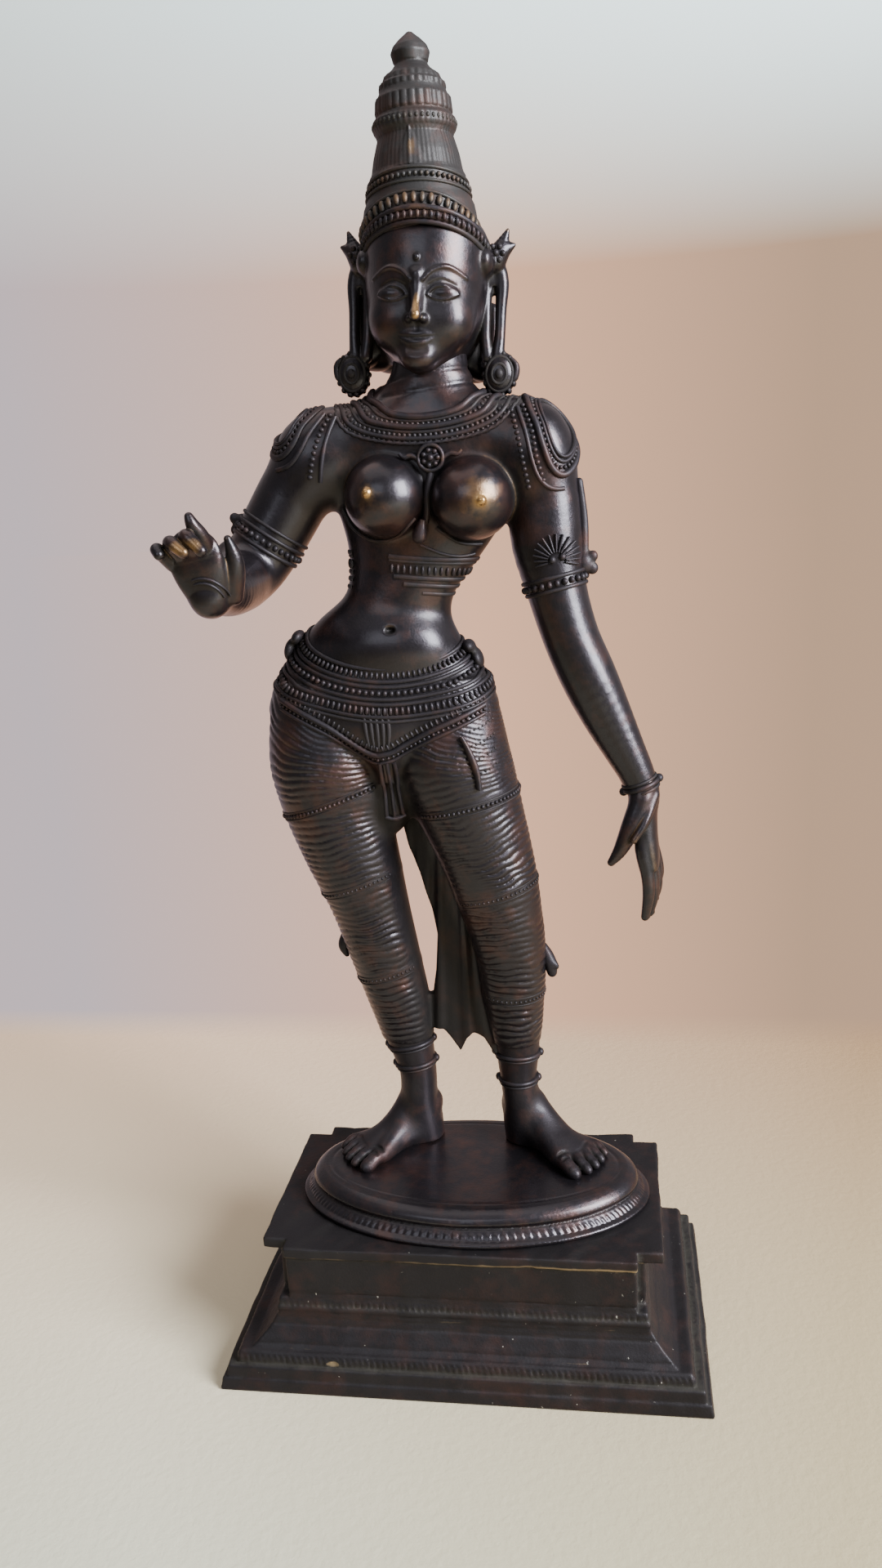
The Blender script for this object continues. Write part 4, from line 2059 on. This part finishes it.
@dataclass
class Plinth:
    """Stepped plinth with a slope, a bead moulding, a block and a top slab."""

    def build(self, shop: Workshop) -> None:
        """Makes the piece.

        Args:
            shop: where it is made.
        """
        clay = Clay((-78, -47, -2), (78, 47, 48), 0.5)
        blocks = (
            Block(0, 4.2, (75, 44), (74.4, 43.4), 0.5),
            Block(2, 8.2, (73.2, 43.1), (72.6, 42.5), 0.7),
            Block(6, 12.2, (70.2, 41.5), (69, 40.6), 0.9),
            Block(11, 21.6, (66.6, 40.2), (57.2, 34.4), 0.4, 0.1),
            Block(20.5, 24.3, (57.2, 34.9), None, 0.8),
            Block(23, 26.9, (56.4, 34.0), None, 0.6),
            Block(25, 41.6, (55.8, 29.7), None, 0.5),
            Block(25, 41.6, (53.2, 33.8), None, 0.5),
            Block(41.3, 44.7, (61.3, 29.9), None, 0.45),
            Block(41.3, 44.7, (53.5, 34.8), None, 0.45),
        )
        for block in blocks:
            clay.add(block)

        def uneven(x: Array, y: Array, z: Array) -> Array:
            """Slight unevenness of the casting and the small beads of the moulding.

            Args:
                x: places across.
                y: places in depth.
                z: heights.

            Returns:
                The rise.
            """
            face = np.clip((np.maximum(np.abs(y) - 33, np.abs(x) - 55.4)) * 4, 0, 1)
            row = bell(z, 25.2, 0.9, 4) * face + 1.3 * bell(z, 10, 1.2, 4)
            dashes = row * 0.38 * np.abs(np.sin((x + y) * math.pi / 1.9))
            lines = sum(bell(z, height, 0.35) for height in (28.4, 22.2, 18.6, 13.4))
            return 0.16 * ripple(x, y, z, 24, 31) + 0.07 * ripple(x, y, z, 7, 32) + dashes - 0.3 * lines

        clay.raise_by(uneven, (-78, -47, 1.2), (78, 47, 48))
        clay.cut(Ball((-39, -42.2, 9.4), (2.2, 1.1, 0.9), (0, -20, 12)), 0.4)
        clay.trim(2, 0, True)

        def rubbed(places: Array) -> Array:
            """Bright metal in the nick and along the slab's front right corner.

            Args:
                places: points of the mesh, in millimetres.

            Returns:
                The extra wear.
            """
            nick = np.linalg.norm((places - np.array((-39, -41.6, 9.6))) / np.array((2.0, 1.6, 1.0)), axis=1)
            edge = bell(places[:, 2], 41.5, 0.7) * bell(places[:, 1], -34.6, 1.0)
            right = np.clip((places[:, 0] + 60) / 100, 0.3, 1)
            return 1.2 * bell(nick, 0, 1, 4) + 0.85 * edge * right

        shop.sculpt("moulded_plinth", clay, PLINTH_BRONZE, 80000, rubbed, part=Part.PLINTH)


@dataclass
class ChestJewels:
    """Collars, pendant, strap and chest band on the trunk."""

    clay: Clay
    middle: tuple[float, float] = (1.0, 4.5)
    collars: tuple = (
        (15.0, 289.2, 285.4, 291.0), (19.2, 288.2, 283.0, 289.0), (22.8, 287.2, 280.4, 286.8),
        (26.0, 285.6, 278.4, 284.0),
    )

    def collar(self, jewels: Jewels, share: float) -> Array:
        """Closed line around the neck between the collars.

        Args:
            jewels: what it is laid with.
            share: place from the innermost collar at 0 to the outermost at 3.

        Returns:
            Places on the surface.
        """
        table = np.array(self.collars)
        half, side, front, back = (np.interp(share, range(len(table)), column) for column in table.T)
        angles = TAU * np.arange(140) / 140
        ahead = np.maximum(0, -np.sin(angles))
        behind = np.maximum(0, np.sin(angles))
        z = side + (front - side) * ahead**1.5 + (back - side) * behind**1.5
        x = self.middle[0] + half * np.cos(angles)
        y = self.middle[1] + np.where(np.sin(angles) < 0, 11.5 + 0.5 * share, 9 + share) * np.sin(angles)
        line = np.stack([x, y, z], axis=1)
        return jewels.smooth(self.clay.settle(line), True, 6)

    def build(self, shop: Workshop) -> None:
        """Makes the pieces.

        Args:
            shop: where it is made.
        """
        jewels = Jewels(self.clay)
        cords = ((0, 1.0, 0.8), (0.45, 0.5, 0.4), (1.1, 0.85, 0.75), (1.6, 0.5, 0.4), (2.35, 0.7, 0.6))
        for share, wide, high in cords:
            jewels.cord(self.collar(jewels, share), wide, high, True)
        jewels.cord(self.collar(jewels, 3.0), 0.55, 0.55, True, 2, 2.2)
        for share, radius in ((0.77, 0.55), (1.95, 0.6), (2.7, 0.5)):
            jewels.beads(self.collar(jewels, share), radius, 1.45, True, (1, 1, 1.2), 0.1)
        self.pendant(jewels)
        for stops in (
            ((-24.5, 262.5), (-21.5, 256.8), (-15, 253.2), (-8, 254.4), (-2.6, 259)),
            ((2.6, 256), (8, 251.8), (12, 250.8), (14.4, 250.7)),
        ):
            jewels.cord(jewels.front(stops), 0.5, 0.45)
        jewels.cord(jewels.front([(-2.2, 251.5), (4, 248.6), (9, 247.6), (12.3, 248.1)]), 0.45, 0.4)
        centre = (-5.5, 4.2)
        lines = (
            (248.0, 0.55, -112), (247.0, 0.35, -112), (242.6, 0.5, -108), (240.6, 0.5, -98),
            (238.4, 0.4, -78),
        )
        for low, wide, start in lines:
            heights = (low - 1.6, low, low + 2.2, low + 0.4)
            path = jewels.belt(centre, heights, 23, start, 200, 0.6)
            jewels.cord(path, 1.35 * wide, 0.65 * wide)
        path = jewels.belt(centre, (243.1, 244.8, 247, 245.2), 23, -110, 198, 0.6)
        jewels.beads(path, 0.62, 1.75, False, (0.85, 1.0, 2.2), 0.2)
        shop.set_jewels("necklaces_and_chest_band", jewels, JEWEL_BRONZE)

    def pendant(self, jewels: Jewels) -> None:
        """Rosette under the collars and the strap that hangs from it.

        Args:
            jewels: what they are laid with.
        """
        x, y, z = 2.5, -8.4, 274.6
        jewels.tube([(*place, 0.6) for place in ring((x, y + 0.2, z), (3.4, 3.4), 16)], True)
        for place in ring((x, y, z), (2.0, 2.0), 7):
            jewels.ball(place, (0.75, 0.8, 0.75))
        jewels.ball((x, y + 1.2, z), (3.4, 1.4, 3.4))
        jewels.ball((x, y - 0.3, z), (1.0, 0.9, 1.0))
        for side in (-1, 1):
            curl = [(3, 0.4, -0.4, 0.7), (5.2, 0.6, 0.8, 0.75), (7.4, 0.5, 0.6, 0.7), (8.6, 0.4, 1.6, 0.4)]
            jewels.tube([(x + side * dx, y + dy, z + dz, radius) for dx, dy, dz, radius in curl])
        strap = jewels.front([(2.3, 271.4), (1.4, 266), (0.4, 260), (-0.6, 256.6)])
        jewels.cord(strap, 1.0, 1.3, sides=10)
        jewels.beads(strap, 0.5, 1.5, False, (1, 1, 1.1), 2.2)
        drop = [(-0.5, -8.6, 258.4, 0.9), (-1.2, -8.4, 256, 1.7), (-1.9, -8.0, 253.8, 2.1)]
        jewels.tube([*drop, (-2.1, -7.6, 252.6, 1.5)])


@dataclass
class ArmJewels:
    """Shoulder ornaments, armlets and bracelets."""

    clay: Clay
    left_loop: Rows = (
        (27.4, 1, 286.6), (31.0, -5, 281.4), (32.8, -6.6, 275.6), (35.2, -6.8, 270), (38.4, -5.6, 267.8),
        (41.2, -2, 269.8), (42, 3, 274), (40.6, 8, 280), (34, 9, 286), (29, 6, 288),
    )
    right_loop: Rows = (
        (-28.6, 1, 288.6), (-33.4, -4.6, 285.4), (-35.4, -6.2, 281.4), (-38.2, -6, 278.2),
        (-41.4, -4.6, 277.2), (-44, -0.6, 278.6), (-44, 5, 281), (-42, 9.6, 283), (-36, 9, 287.6),
        (-31, 6, 289.6),
    )

    def epaulette(self, jewels: Jewels, loop: Rows, strands: tuple) -> None:
        """Looped ornament over a shoulder with the strands that hang before it.

        Args:
            jewels: what it is laid with.
            loop: places of its edge.
            strands: lines of X and Z beside it.
        """
        edge = jewels.laid(loop)
        centre = edge.mean(axis=0)

        def inset(share: float) -> Array:
            """The edge drawn in towards the middle."""
            return jewels.smooth(self.clay.settle(edge + (centre - edge) * share), True)

        jewels.cord(edge, 0.95, 0.9 if loop is self.left_loop else 0.5, True)
        jewels.beads(inset(0.17), 0.6, 1.5, True, (1, 1, 1.1), 0.3)
        jewels.cord(inset(0.31), 0.55, 0.55, True)
        jewels.cord(inset(0.42), 0.55, 0.75, True)
        for stops, beaded in strands:
            path = jewels.front(stops)
            if beaded:
                jewels.beads(path, 0.65, 1.6, False, (1, 1, 1.15), 0.3)
            else:
                jewels.cord(path, 0.65, 0.6)

    def fan(self, jewels: Jewels, middle: tuple[float, float], size: float) -> None:
        """Rayed leaf on an armlet.

        Args:
            jewels: what it is laid with.
            middle: X and Z of its heart.
            size: length of its longest rays.
        """
        for angle in np.radians(np.linspace(-14, 194, 15)):
            way = np.array([math.cos(angle), math.sin(angle)])
            reach = size * (0.82 + 0.18 * math.sin(angle))
            stops = [tuple(np.array(middle) + way * share) for share in (2.3, 0.5 * reach + 1, reach)]
            jewels.cord(jewels.front(stops, 0.5), 0.42, 0.75, sides=6, taper=0.3)
        for dx, dz in ((-1.1, 0.2), (1.7, 0.9)):
            start = np.array([[middle[0] + dx, -40, middle[1] + dz]])
            jewels.ball(self.clay.cast(start, np.array([[0, 1.0, 0]]), 60)[0], (1.05, 1.2, 1.15))

    @staticmethod
    def hoops(jewels: Jewels, centre: Place, along: Place, reach: float, lines: Rows) -> None:
        """Cords and bead rows around a limb.

        Args:
            jewels: what they are laid with.
            centre: a place inside the limb.
            along: direction of the limb.
            reach: how far out the search starts.
            lines: for each line its shift along the limb, its half width and 1 where it is beaded.
        """
        axis = unit(np.asarray(along, float))
        for shift, wide, beaded in lines:
            path = jewels.hoop(np.asarray(centre, float) + axis * shift, axis, reach)
            if beaded:
                jewels.beads(path, wide, 2.5 * wide, True, (1, 1.1, 1.2), 0.3)
            else:
                jewels.cord(path, wide, 0.85 * wide, True)

    def build(self, shop: Workshop) -> None:
        """Makes the pieces.

        Args:
            shop: where it is made.
        """
        jewels = Jewels(self.clay)
        left_strands = (
            (((24.6, 285.5), (26.2, 279), (27.4, 272), (28.6, 265.4)), True),
            (((26.2, 286.2), (28.4, 279.6), (29.8, 272.6), (31.6, 267.4), (34.6, 264.6), (38, 264.4)), False),
            (((27.6, 286.6), (30, 280), (31.0, 273), (32.6, 267)), True),
        )
        right_strands = (
            (((-25.4, 287.6), (-28.4, 282), (-30.4, 276), (-31.6, 271.4)), True),
            (((-27, 288), (-31, 283), (-33.6, 278.6), (-37, 275), (-41.4, 273.8)), False),
            (((-23.8, 287), (-26.4, 281), (-28, 275), (-29, 270)), False),
        )
        self.epaulette(jewels, self.left_loop, left_strands)
        self.epaulette(jewels, self.right_loop, right_strands)
        lines = ((-2.4, 0.6, 0), (-0.7, 0.85, 1), (1.1, 0.6, 0))
        self.hoops(jewels, (34.8, 2.2, 239.4), (-0.21, 0.05, 1), 13.5, lines)
        self.fan(jewels, (35.4, 245.4), 7.2)
        lines = ((-2.6, 0.6, 0), (-0.6, 0.8, 1), (1.4, 0.6, 0), (3.6, 0.5, 0))
        self.hoops(jewels, (-47.6, 2.4, 254.8), (0.55, 0.12, 0.8), 13.5, lines)
        self.hoops(jewels, (57.2, 0, 179.8), (-0.36, 0, 1), 9, ((-1.5, 0.5, 0), (0, 0.75, 0), (1.4, 0.45, 0)))
        for x, z in ((52.4, 177.8), (62.6, 181.8)):
            jewels.ball((x, 0, z), (1.3, 1.6, 1.3))
        shop.set_jewels("arm_ornaments", jewels, JEWEL_BRONZE)
        knobs = Clay((-64, -12, 236), (50, 12, 268), 0.5)
        for side, x, y, z in ((1, 42.6, 1.4, 243.8), (-1, -54.4, 1.2, 259.6)):
            knobs.add(Ball((x, y, z), (2.6, 2.3, 3.2), (0, side * 12, 0)))
            knobs.add(Ball((x + side * 2.6, y, z + 1.9), (1.5, 1.4, 1.6)), 0.6)
            knobs.add(Ball((x + side * 2.4, y, z - 1.4), (1.7, 1.5, 1.8)), 0.6)
        pendant = [(42.0, 2.6, 266, 1.1), (42.9, 2.4, 256, 1.3), (42.8, 2, 248, 1.4), (42.6, 1.6, 244, 1.5)]
        knobs.add(Limb(pendant, 20), 0.6)
        shop.sculpt("armlet_knobs", knobs, JEWEL_BRONZE, 14000)


@dataclass
class Girdle:
    """Belts, thigh loops, straps and bead bands on the skirt."""

    clay: Clay
    axis: tuple[float, float] = (-17.6, 5.0)
    belts: tuple = (
        ((221.6, 215.8, 226.6, 221.6), 0.65, (0.85, 1.0, 1.7)),
        ((216.6, 210.8, 221.6, 216.6), 0.8, (1.0, 1.0, 1.15)),
        ((211.6, 205.8, 216.4, 212.4), 0.72, (0.85, 1.0, 1.8)),
    )

    def rows(self, jewels: Jewels) -> None:
        """The belts around the hips.

        Args:
            jewels: what they are laid with.
        """
        for heights, radius, shape in self.belts:
            jewels.beads(jewels.belt(self.axis, heights, oval=0.5), radius, 2.35 * radius, True, shape, 0.35)
            for shift in (1.75, -1.75):
                path = jewels.belt(self.axis, tuple(height + shift for height in heights), oval=0.5)
                jewels.cord(path, 0.62, 0.527, True)
        lowest = tuple(height - 3.1 for height in self.belts[-1][0])
        jewels.cord(jewels.belt(self.axis, lowest, oval=0.5), 0.5, 0.4, True)

    def loops(self, jewels: Jewels) -> None:
        """Cords that fall from the girdle to the middle and over the thighs.

        Args:
            jewels: what they are laid with.
        """
        right = ((-46.4, 209), (-40.5, 206), (-32, 201.4), (-25.4, 196.8), (-20.6, 193.6), (-17.8, 192.6))
        left = ((-17.8, 192.6), (-13.6, 193.4), (-10, 195.4), (-2, 199.2), (6.4, 202.6), (13.0, 205.4))
        for step in range(5):
            foot = -20.6 + 1.7 * step
            stops = [(foot - 0.3, 206.4), (foot, 200), (0.8 * foot - 3.4, 194.8)]
            jewels.cord(jewels.front(stops), 0.65, 0.35, taper=0.4)
        for stops in (right, left):
            jewels.cord(jewels.front(stops), 0.85, 0.9)
            jewels.cord(jewels.front([(x, z - 2.5) for x, z in stops]), 0.6, 0.6)
            for rise, size, spacing, shape, lift in (
                (-1.25, 0.55, 1.5, (0.9, 1, 1.1), 0.6), (2.0, 0.6, 1.6, (0.8, 1, 1.7), 0.2),
            ):
                path = jewels.front([(x, z + rise) for x, z in stops])
                jewels.beads(path, size, spacing, False, shape, lift)

    def straps(self, jewels: Jewels) -> None:
        """Centre tassel and the strap on the left thigh.

        Args:
            jewels: what they are laid with.
        """
        middle = -15.4
        for dx, wide in ((-1.9, 0.65), (1.9, 0.65), (0, 0.55)):
            stops = [(middle + dx, 190.5), (middle + dx, 182), (middle + 1.15 * dx, 173)]
            jewels.cord(jewels.front(stops), wide, 0.9)
        jewels.cord(jewels.front([(middle - 2.7, 172.6), (middle, 171.6), (middle + 2.7, 172.6)]), 0.7, 0.9)
        edge = ((6.6, 197.4), (7.8, 195), (9.0, 192), (10.1, 188.8), (10.8, 185.4), (11.0, 181.8))
        jewels.cord(jewels.front(edge), 1.1, 1.35, sides=10, taper=0.35)
        for row in range(4):
            x, z = 9.2 + 0.5 * row, 198.6 - 4.2 * row
            stops = [(x, z), (x + 3, z + 0.8), (15.2 + 0.3 * row, z + 2.4)]
            jewels.beads(jewels.front(stops), 0.42, 1.5, False, (1, 1, 1), 0.0)

    def bands(self, jewels: Jewels, skirt: Skirt) -> None:
        """Bead bands around the legs, square to them.

        Args:
            jewels: what they are laid with.
            skirt: the cloth under them.
        """
        legs = (
            (skirt.right_leg, skirt.right_bands, -0.22, (-250, -34)),
            (skirt.left_leg, skirt.left_bands, 0.16, (-140, 70)),
        )
        for rows, heights, lean, turns in legs:
            for height in heights:
                section = rows_at(rows, np.array([height - 4.0, height, height + 4.0]))
                slope = 1.35 * (section[0, 2] - section[0, 0]) / 8
                x, half, y = section[0, 1], section[1, 1], section[2, 1]
                high = height > 160
                slope += lean if high else 0.0
                reach, size = half + (6 if high else 2.2), 1.0 if high else 0.7
                for shift, beaded in ((0, True), (1.25, False), (-1.25, False)):
                    path = jewels.hoop((x, y, height + shift), (slope, 0, 1), reach, *turns)
                    if beaded:
                        jewels.beads(path, 0.6 * size, 1.45, False, (1, 1.05, 1.1), 0.4)
                    else:
                        jewels.cord(path, 0.32 * size, 0.32 * size, taper=0.6)

    def build(self, shop: Workshop, skirt: Skirt) -> None:
        """Makes the pieces.

        Args:
            shop: where they are made.
            skirt: the cloth that they lie on.
        """
        jewels = Jewels(self.clay)
        self.rows(jewels)
        self.loops(jewels)
        self.straps(jewels)
        self.bands(jewels, skirt)
        shop.set_jewels("girdle_and_leg_bands", jewels, JEWEL_BRONZE)
        knots = Clay((-54, -8, 108), (40, 24, 236), 0.5)
        knots.add(Ball((-41.8, 3, 226.2), (1.8, 3.6, 2.4), (0, 35, 0)))
        knots.add(Ball((-44.6, 4, 222.6), (1.8, 3.8, 3.4), (0, 15, 0)), 1)
        knots.add(Ball((9.0, 3, 221.8), (1.8, 3.6, 2.1), (0, -35, 0)))
        knots.add(Ball((11.2, 4, 218), (1.7, 3.6, 3.2), (0, -15, 0)), 1)
        for stops in (
            (
                (-34.6, 9.8, 132.6, 1.2), (-36.4, 9.4, 129.4, 1.7), (-37.4, 9, 126, 1.8),
                (-36.6, 8.8, 122.8, 0.8),
            ),
            ((26.4, 11, 125, 1.3), (27.6, 10.6, 122, 2), (28.6, 10.3, 119, 2.1), (29, 10.2, 116.4, 1.6)),
            ((27.2, 10.4, 122, 1), (29.6, 9.6, 119.6, 1.2), (30.6, 9.4, 118.6, 0.8)),
        ):
            knots.add(Limb(stops, 20), 0.5)
        shop.sculpt("sash_knots", knots, JEWEL_BRONZE, 16000)


@dataclass
class Anklets:
    """Rings around the ankles."""

    clay: Clay
    rings: tuple = (
        ((-18.7, 13.8, 90.4), (-0.16, 0.07, 1)),
        ((-17.6, 14.2, 83.0), (-0.14, 0.07, 1)),
        ((16.6, 13.7, 87.0), (0.02, 0.09, 1)),
        ((16.5, 14.4, 77.4), (0.0, 0.08, 1)),
    )

    def build(self, shop: Workshop) -> None:
        """Makes the piece.

        Args:
            shop: where it is made.
        """
        jewels = Jewels(self.clay)
        for centre, along in self.rings:
            path = jewels.hoop(centre, along, 11)
            jewels.cord(path, 0.7, 0.65, True, sides=10)
            jewels.cord(jewels.hoop((centre[0], centre[1], centre[2] - 1.4), along, 11), 0.4, 0.4, True)
            for side in (-1, 1):
                spot = path[np.argmax(side * path[:, 0])]
                jewels.ball(spot + np.array([side * 0.5, 0, 0]), (1.1, 1.4, 1.3))
        shop.set_jewels("anklets", jewels, JEWEL_BRONZE)


# The studio.


@dataclass
class Studio:
    """Camera, soft light from a window on the right, pale floor and the wall tone beyond it."""

    place: Place = (51.0, -330.0, 267.4)
    yaw: float = 9.0
    pitch: float = 14.46
    roll: float = -3.47
    lens: float = 26.61
    sensor: float = 36.0
    floor_front: tuple[Colour, Colour] = ((0.52, 0.5, 0.375), (0.37, 0.31, 0.185))
    floor_back: tuple[Colour, Colour] = ((0.85, 0.59, 0.4), (0.3, 0.18, 0.095))
    wall_left: Colour = (0.76, 0.65, 0.69)
    wall_middle: Colour = (1.2, 0.68, 0.44)
    wall_right: Colour = (0.66, 0.43, 0.285)
    top_left: Colour = (1.12, 1.22, 1.19)
    top_right: Colour = (2.3, 2.8, 2.9)
    floor_edge: float = 0.2
    floor_half: float = 6.0
    room_behind: Colour = (0.2, 0.2, 0.215)
    room_ahead: Colour = (0.5, 0.46, 0.45)

    def camera(self) -> None:
        """Sets up the camera."""
        yaw, pitch, roll = (math.radians(angle) for angle in (self.yaw, self.pitch, self.roll))
        ahead = Vector((-math.sin(yaw) * math.cos(pitch), math.cos(yaw) * math.cos(pitch), -math.sin(pitch)))
        level = Vector((math.cos(yaw), math.sin(yaw), 0))
        upright = level.cross(ahead)
        right = level * math.cos(roll) + upright * math.sin(roll)
        above = upright * math.cos(roll) - level * math.sin(roll)
        data = bpy.data.cameras.new("camera")
        data.lens = self.lens
        data.sensor_width = self.sensor
        data.clip_start = 0.01
        camera = bpy.data.objects.new("camera", data)
        turn = Matrix((right, above, -ahead)).transposed().to_4x4()
        camera.matrix_world = Matrix.Translation(Vector(self.place) * MM) @ turn
        bpy.context.scene.collection.objects.link(camera)
        bpy.context.scene.camera = camera

    def lamp(self, name: str, place: tuple, size: tuple, power: float, colour: Colour) -> None:
        """Adds a soft lamp that faces the middle of the figure.

        Args:
            name: what the lamp is called.
            place: where it is, in metres.
            size: its width and height, in metres.
            power: its power in watts.
            colour: its colour.
        """
        data = bpy.data.lights.new(name, "AREA")
        data.shape = "RECTANGLE"
        data.size, data.size_y = size
        data.energy = power
        data.color = colour
        lamp = bpy.data.objects.new(name, data)
        lamp.location = place
        lamp.rotation_euler = (Vector((0, 0, 0.2)) - Vector(place)).to_track_quat("-Z", "Y").to_euler()
        bpy.context.scene.collection.objects.link(lamp)

    def floor(self) -> None:
        """Adds the floor, which takes the tone of the wall beyond its edge."""
        half = self.floor_half
        mesh = bpy.data.meshes.new("floor")
        corners = [(-half, -half, 0), (half, -half, 0), (half, half, 0), (-half, half, 0)]
        mesh.from_pydata(corners, [], [(0, 1, 2, 3)])
        floor = bpy.data.objects.new("floor", mesh)
        bpy.context.scene.collection.objects.link(floor)
        material = bpy.data.materials.new("floor_paper")
        desk = Desk(material)
        x, y, _ = desk.places()
        beyond = y.steeper(self.floor_edge - 0.012, self.floor_edge + 0.02)
        slope = (x - 0.05).maths("DIVIDE", y + 0.33)
        across = slope.steeper(-0.55, 0.22)
        wall = desk.mixed(slope.steeper(-0.53, -0.12), self.wall_left, self.wall_middle)
        wall = desk.mixed(slope.steeper(-0.12, 0.165), wall, self.wall_right)
        front, back = desk.mixed(across, *self.floor_front), desk.mixed(across, *self.floor_back)
        looks = {
            "Base Color": desk.mixed(y.steeper(-0.12, 0.2), front, back),
            "Roughness": 0.95,
            "Specular IOR Level": 0.1,
            "Normal": desk.bumps([(desk.noise(3, 3, 0.6), 0.25)]),
        }
        paper = Wire(desk, desk.feed(desk.kept("BSDF_PRINCIPLED"), looks).outputs[0])
        glow = desk.wire("ShaderNodeEmission", None, {"Color": wall})
        both = desk.wire("ShaderNodeMixShader", None, {0: beyond, 1: paper, 2: glow})
        desk.feed(desk.kept("OUTPUT_MATERIAL"), {"Surface": both})
        mesh.materials.append(material)

    def sky(self) -> None:
        """Sets the wall tone behind the figure and the dim room that lights it."""
        world = bpy.data.worlds.new("room")
        bpy.context.scene.world = world
        desk = Desk(world)
        x, y, z = desk.places(0)
        low = desk.mixed(x.steeper(-0.46, -0.12), self.wall_left, self.wall_middle)
        low = desk.mixed(x.steeper(-0.12, 0.16), low, self.wall_right)
        high = desk.mixed(x.steeper(-0.5, 0.2), self.top_left, self.top_right)
        seen = desk.mixed(z.steeper(0.16, 0.335), low, high)
        lit = desk.mixed(y.steeper(-0.6, 0.5), self.room_behind, self.room_ahead)
        direct = desk.wire("ShaderNodeLightPath")
        desk.feed(desk.kept("BACKGROUND"), {"Color": desk.mixed(direct, lit, seen)})

    def build(self) -> None:
        """Sets the whole studio up."""
        self.camera()
        self.lamp("window", (0.84, -0.42, 0.6), (0.5, 0.65), 54, (0.88, 0.94, 1.0))
        self.lamp("room", (-0.2, -0.85, 0.66), (0.6, 0.45), 2.2, (0.84, 0.92, 1.0))
        self.lamp("ceiling", (-0.2, 0.0, 1.3), (1.2, 1.2), 6, (1.0, 0.96, 0.92))
        self.floor()
        self.sky()


def main() -> None:
    """Builds the figure, its base and the studio."""
    logging.basicConfig(level=logging.INFO, format="%(name)s: %(message)s")
    Studio().build()
    shop = Workshop()
    torso, skirt, feet = Torso(), Skirt(), Feet()
    torso.build(shop)
    skirt.build(shop)
    Head().build(shop)
    Crown().build(shop)
    Hands().build(shop)
    feet.build(shop)
    ChestJewels(torso.clay).build(shop)
    ArmJewels(torso.clay).build(shop)
    Girdle(skirt.base).build(shop, skirt)
    Anklets(feet.clay).build(shop)
    Pedestal().build(shop)
    Plinth().build(shop)


if __name__ == "__main__":
    main()
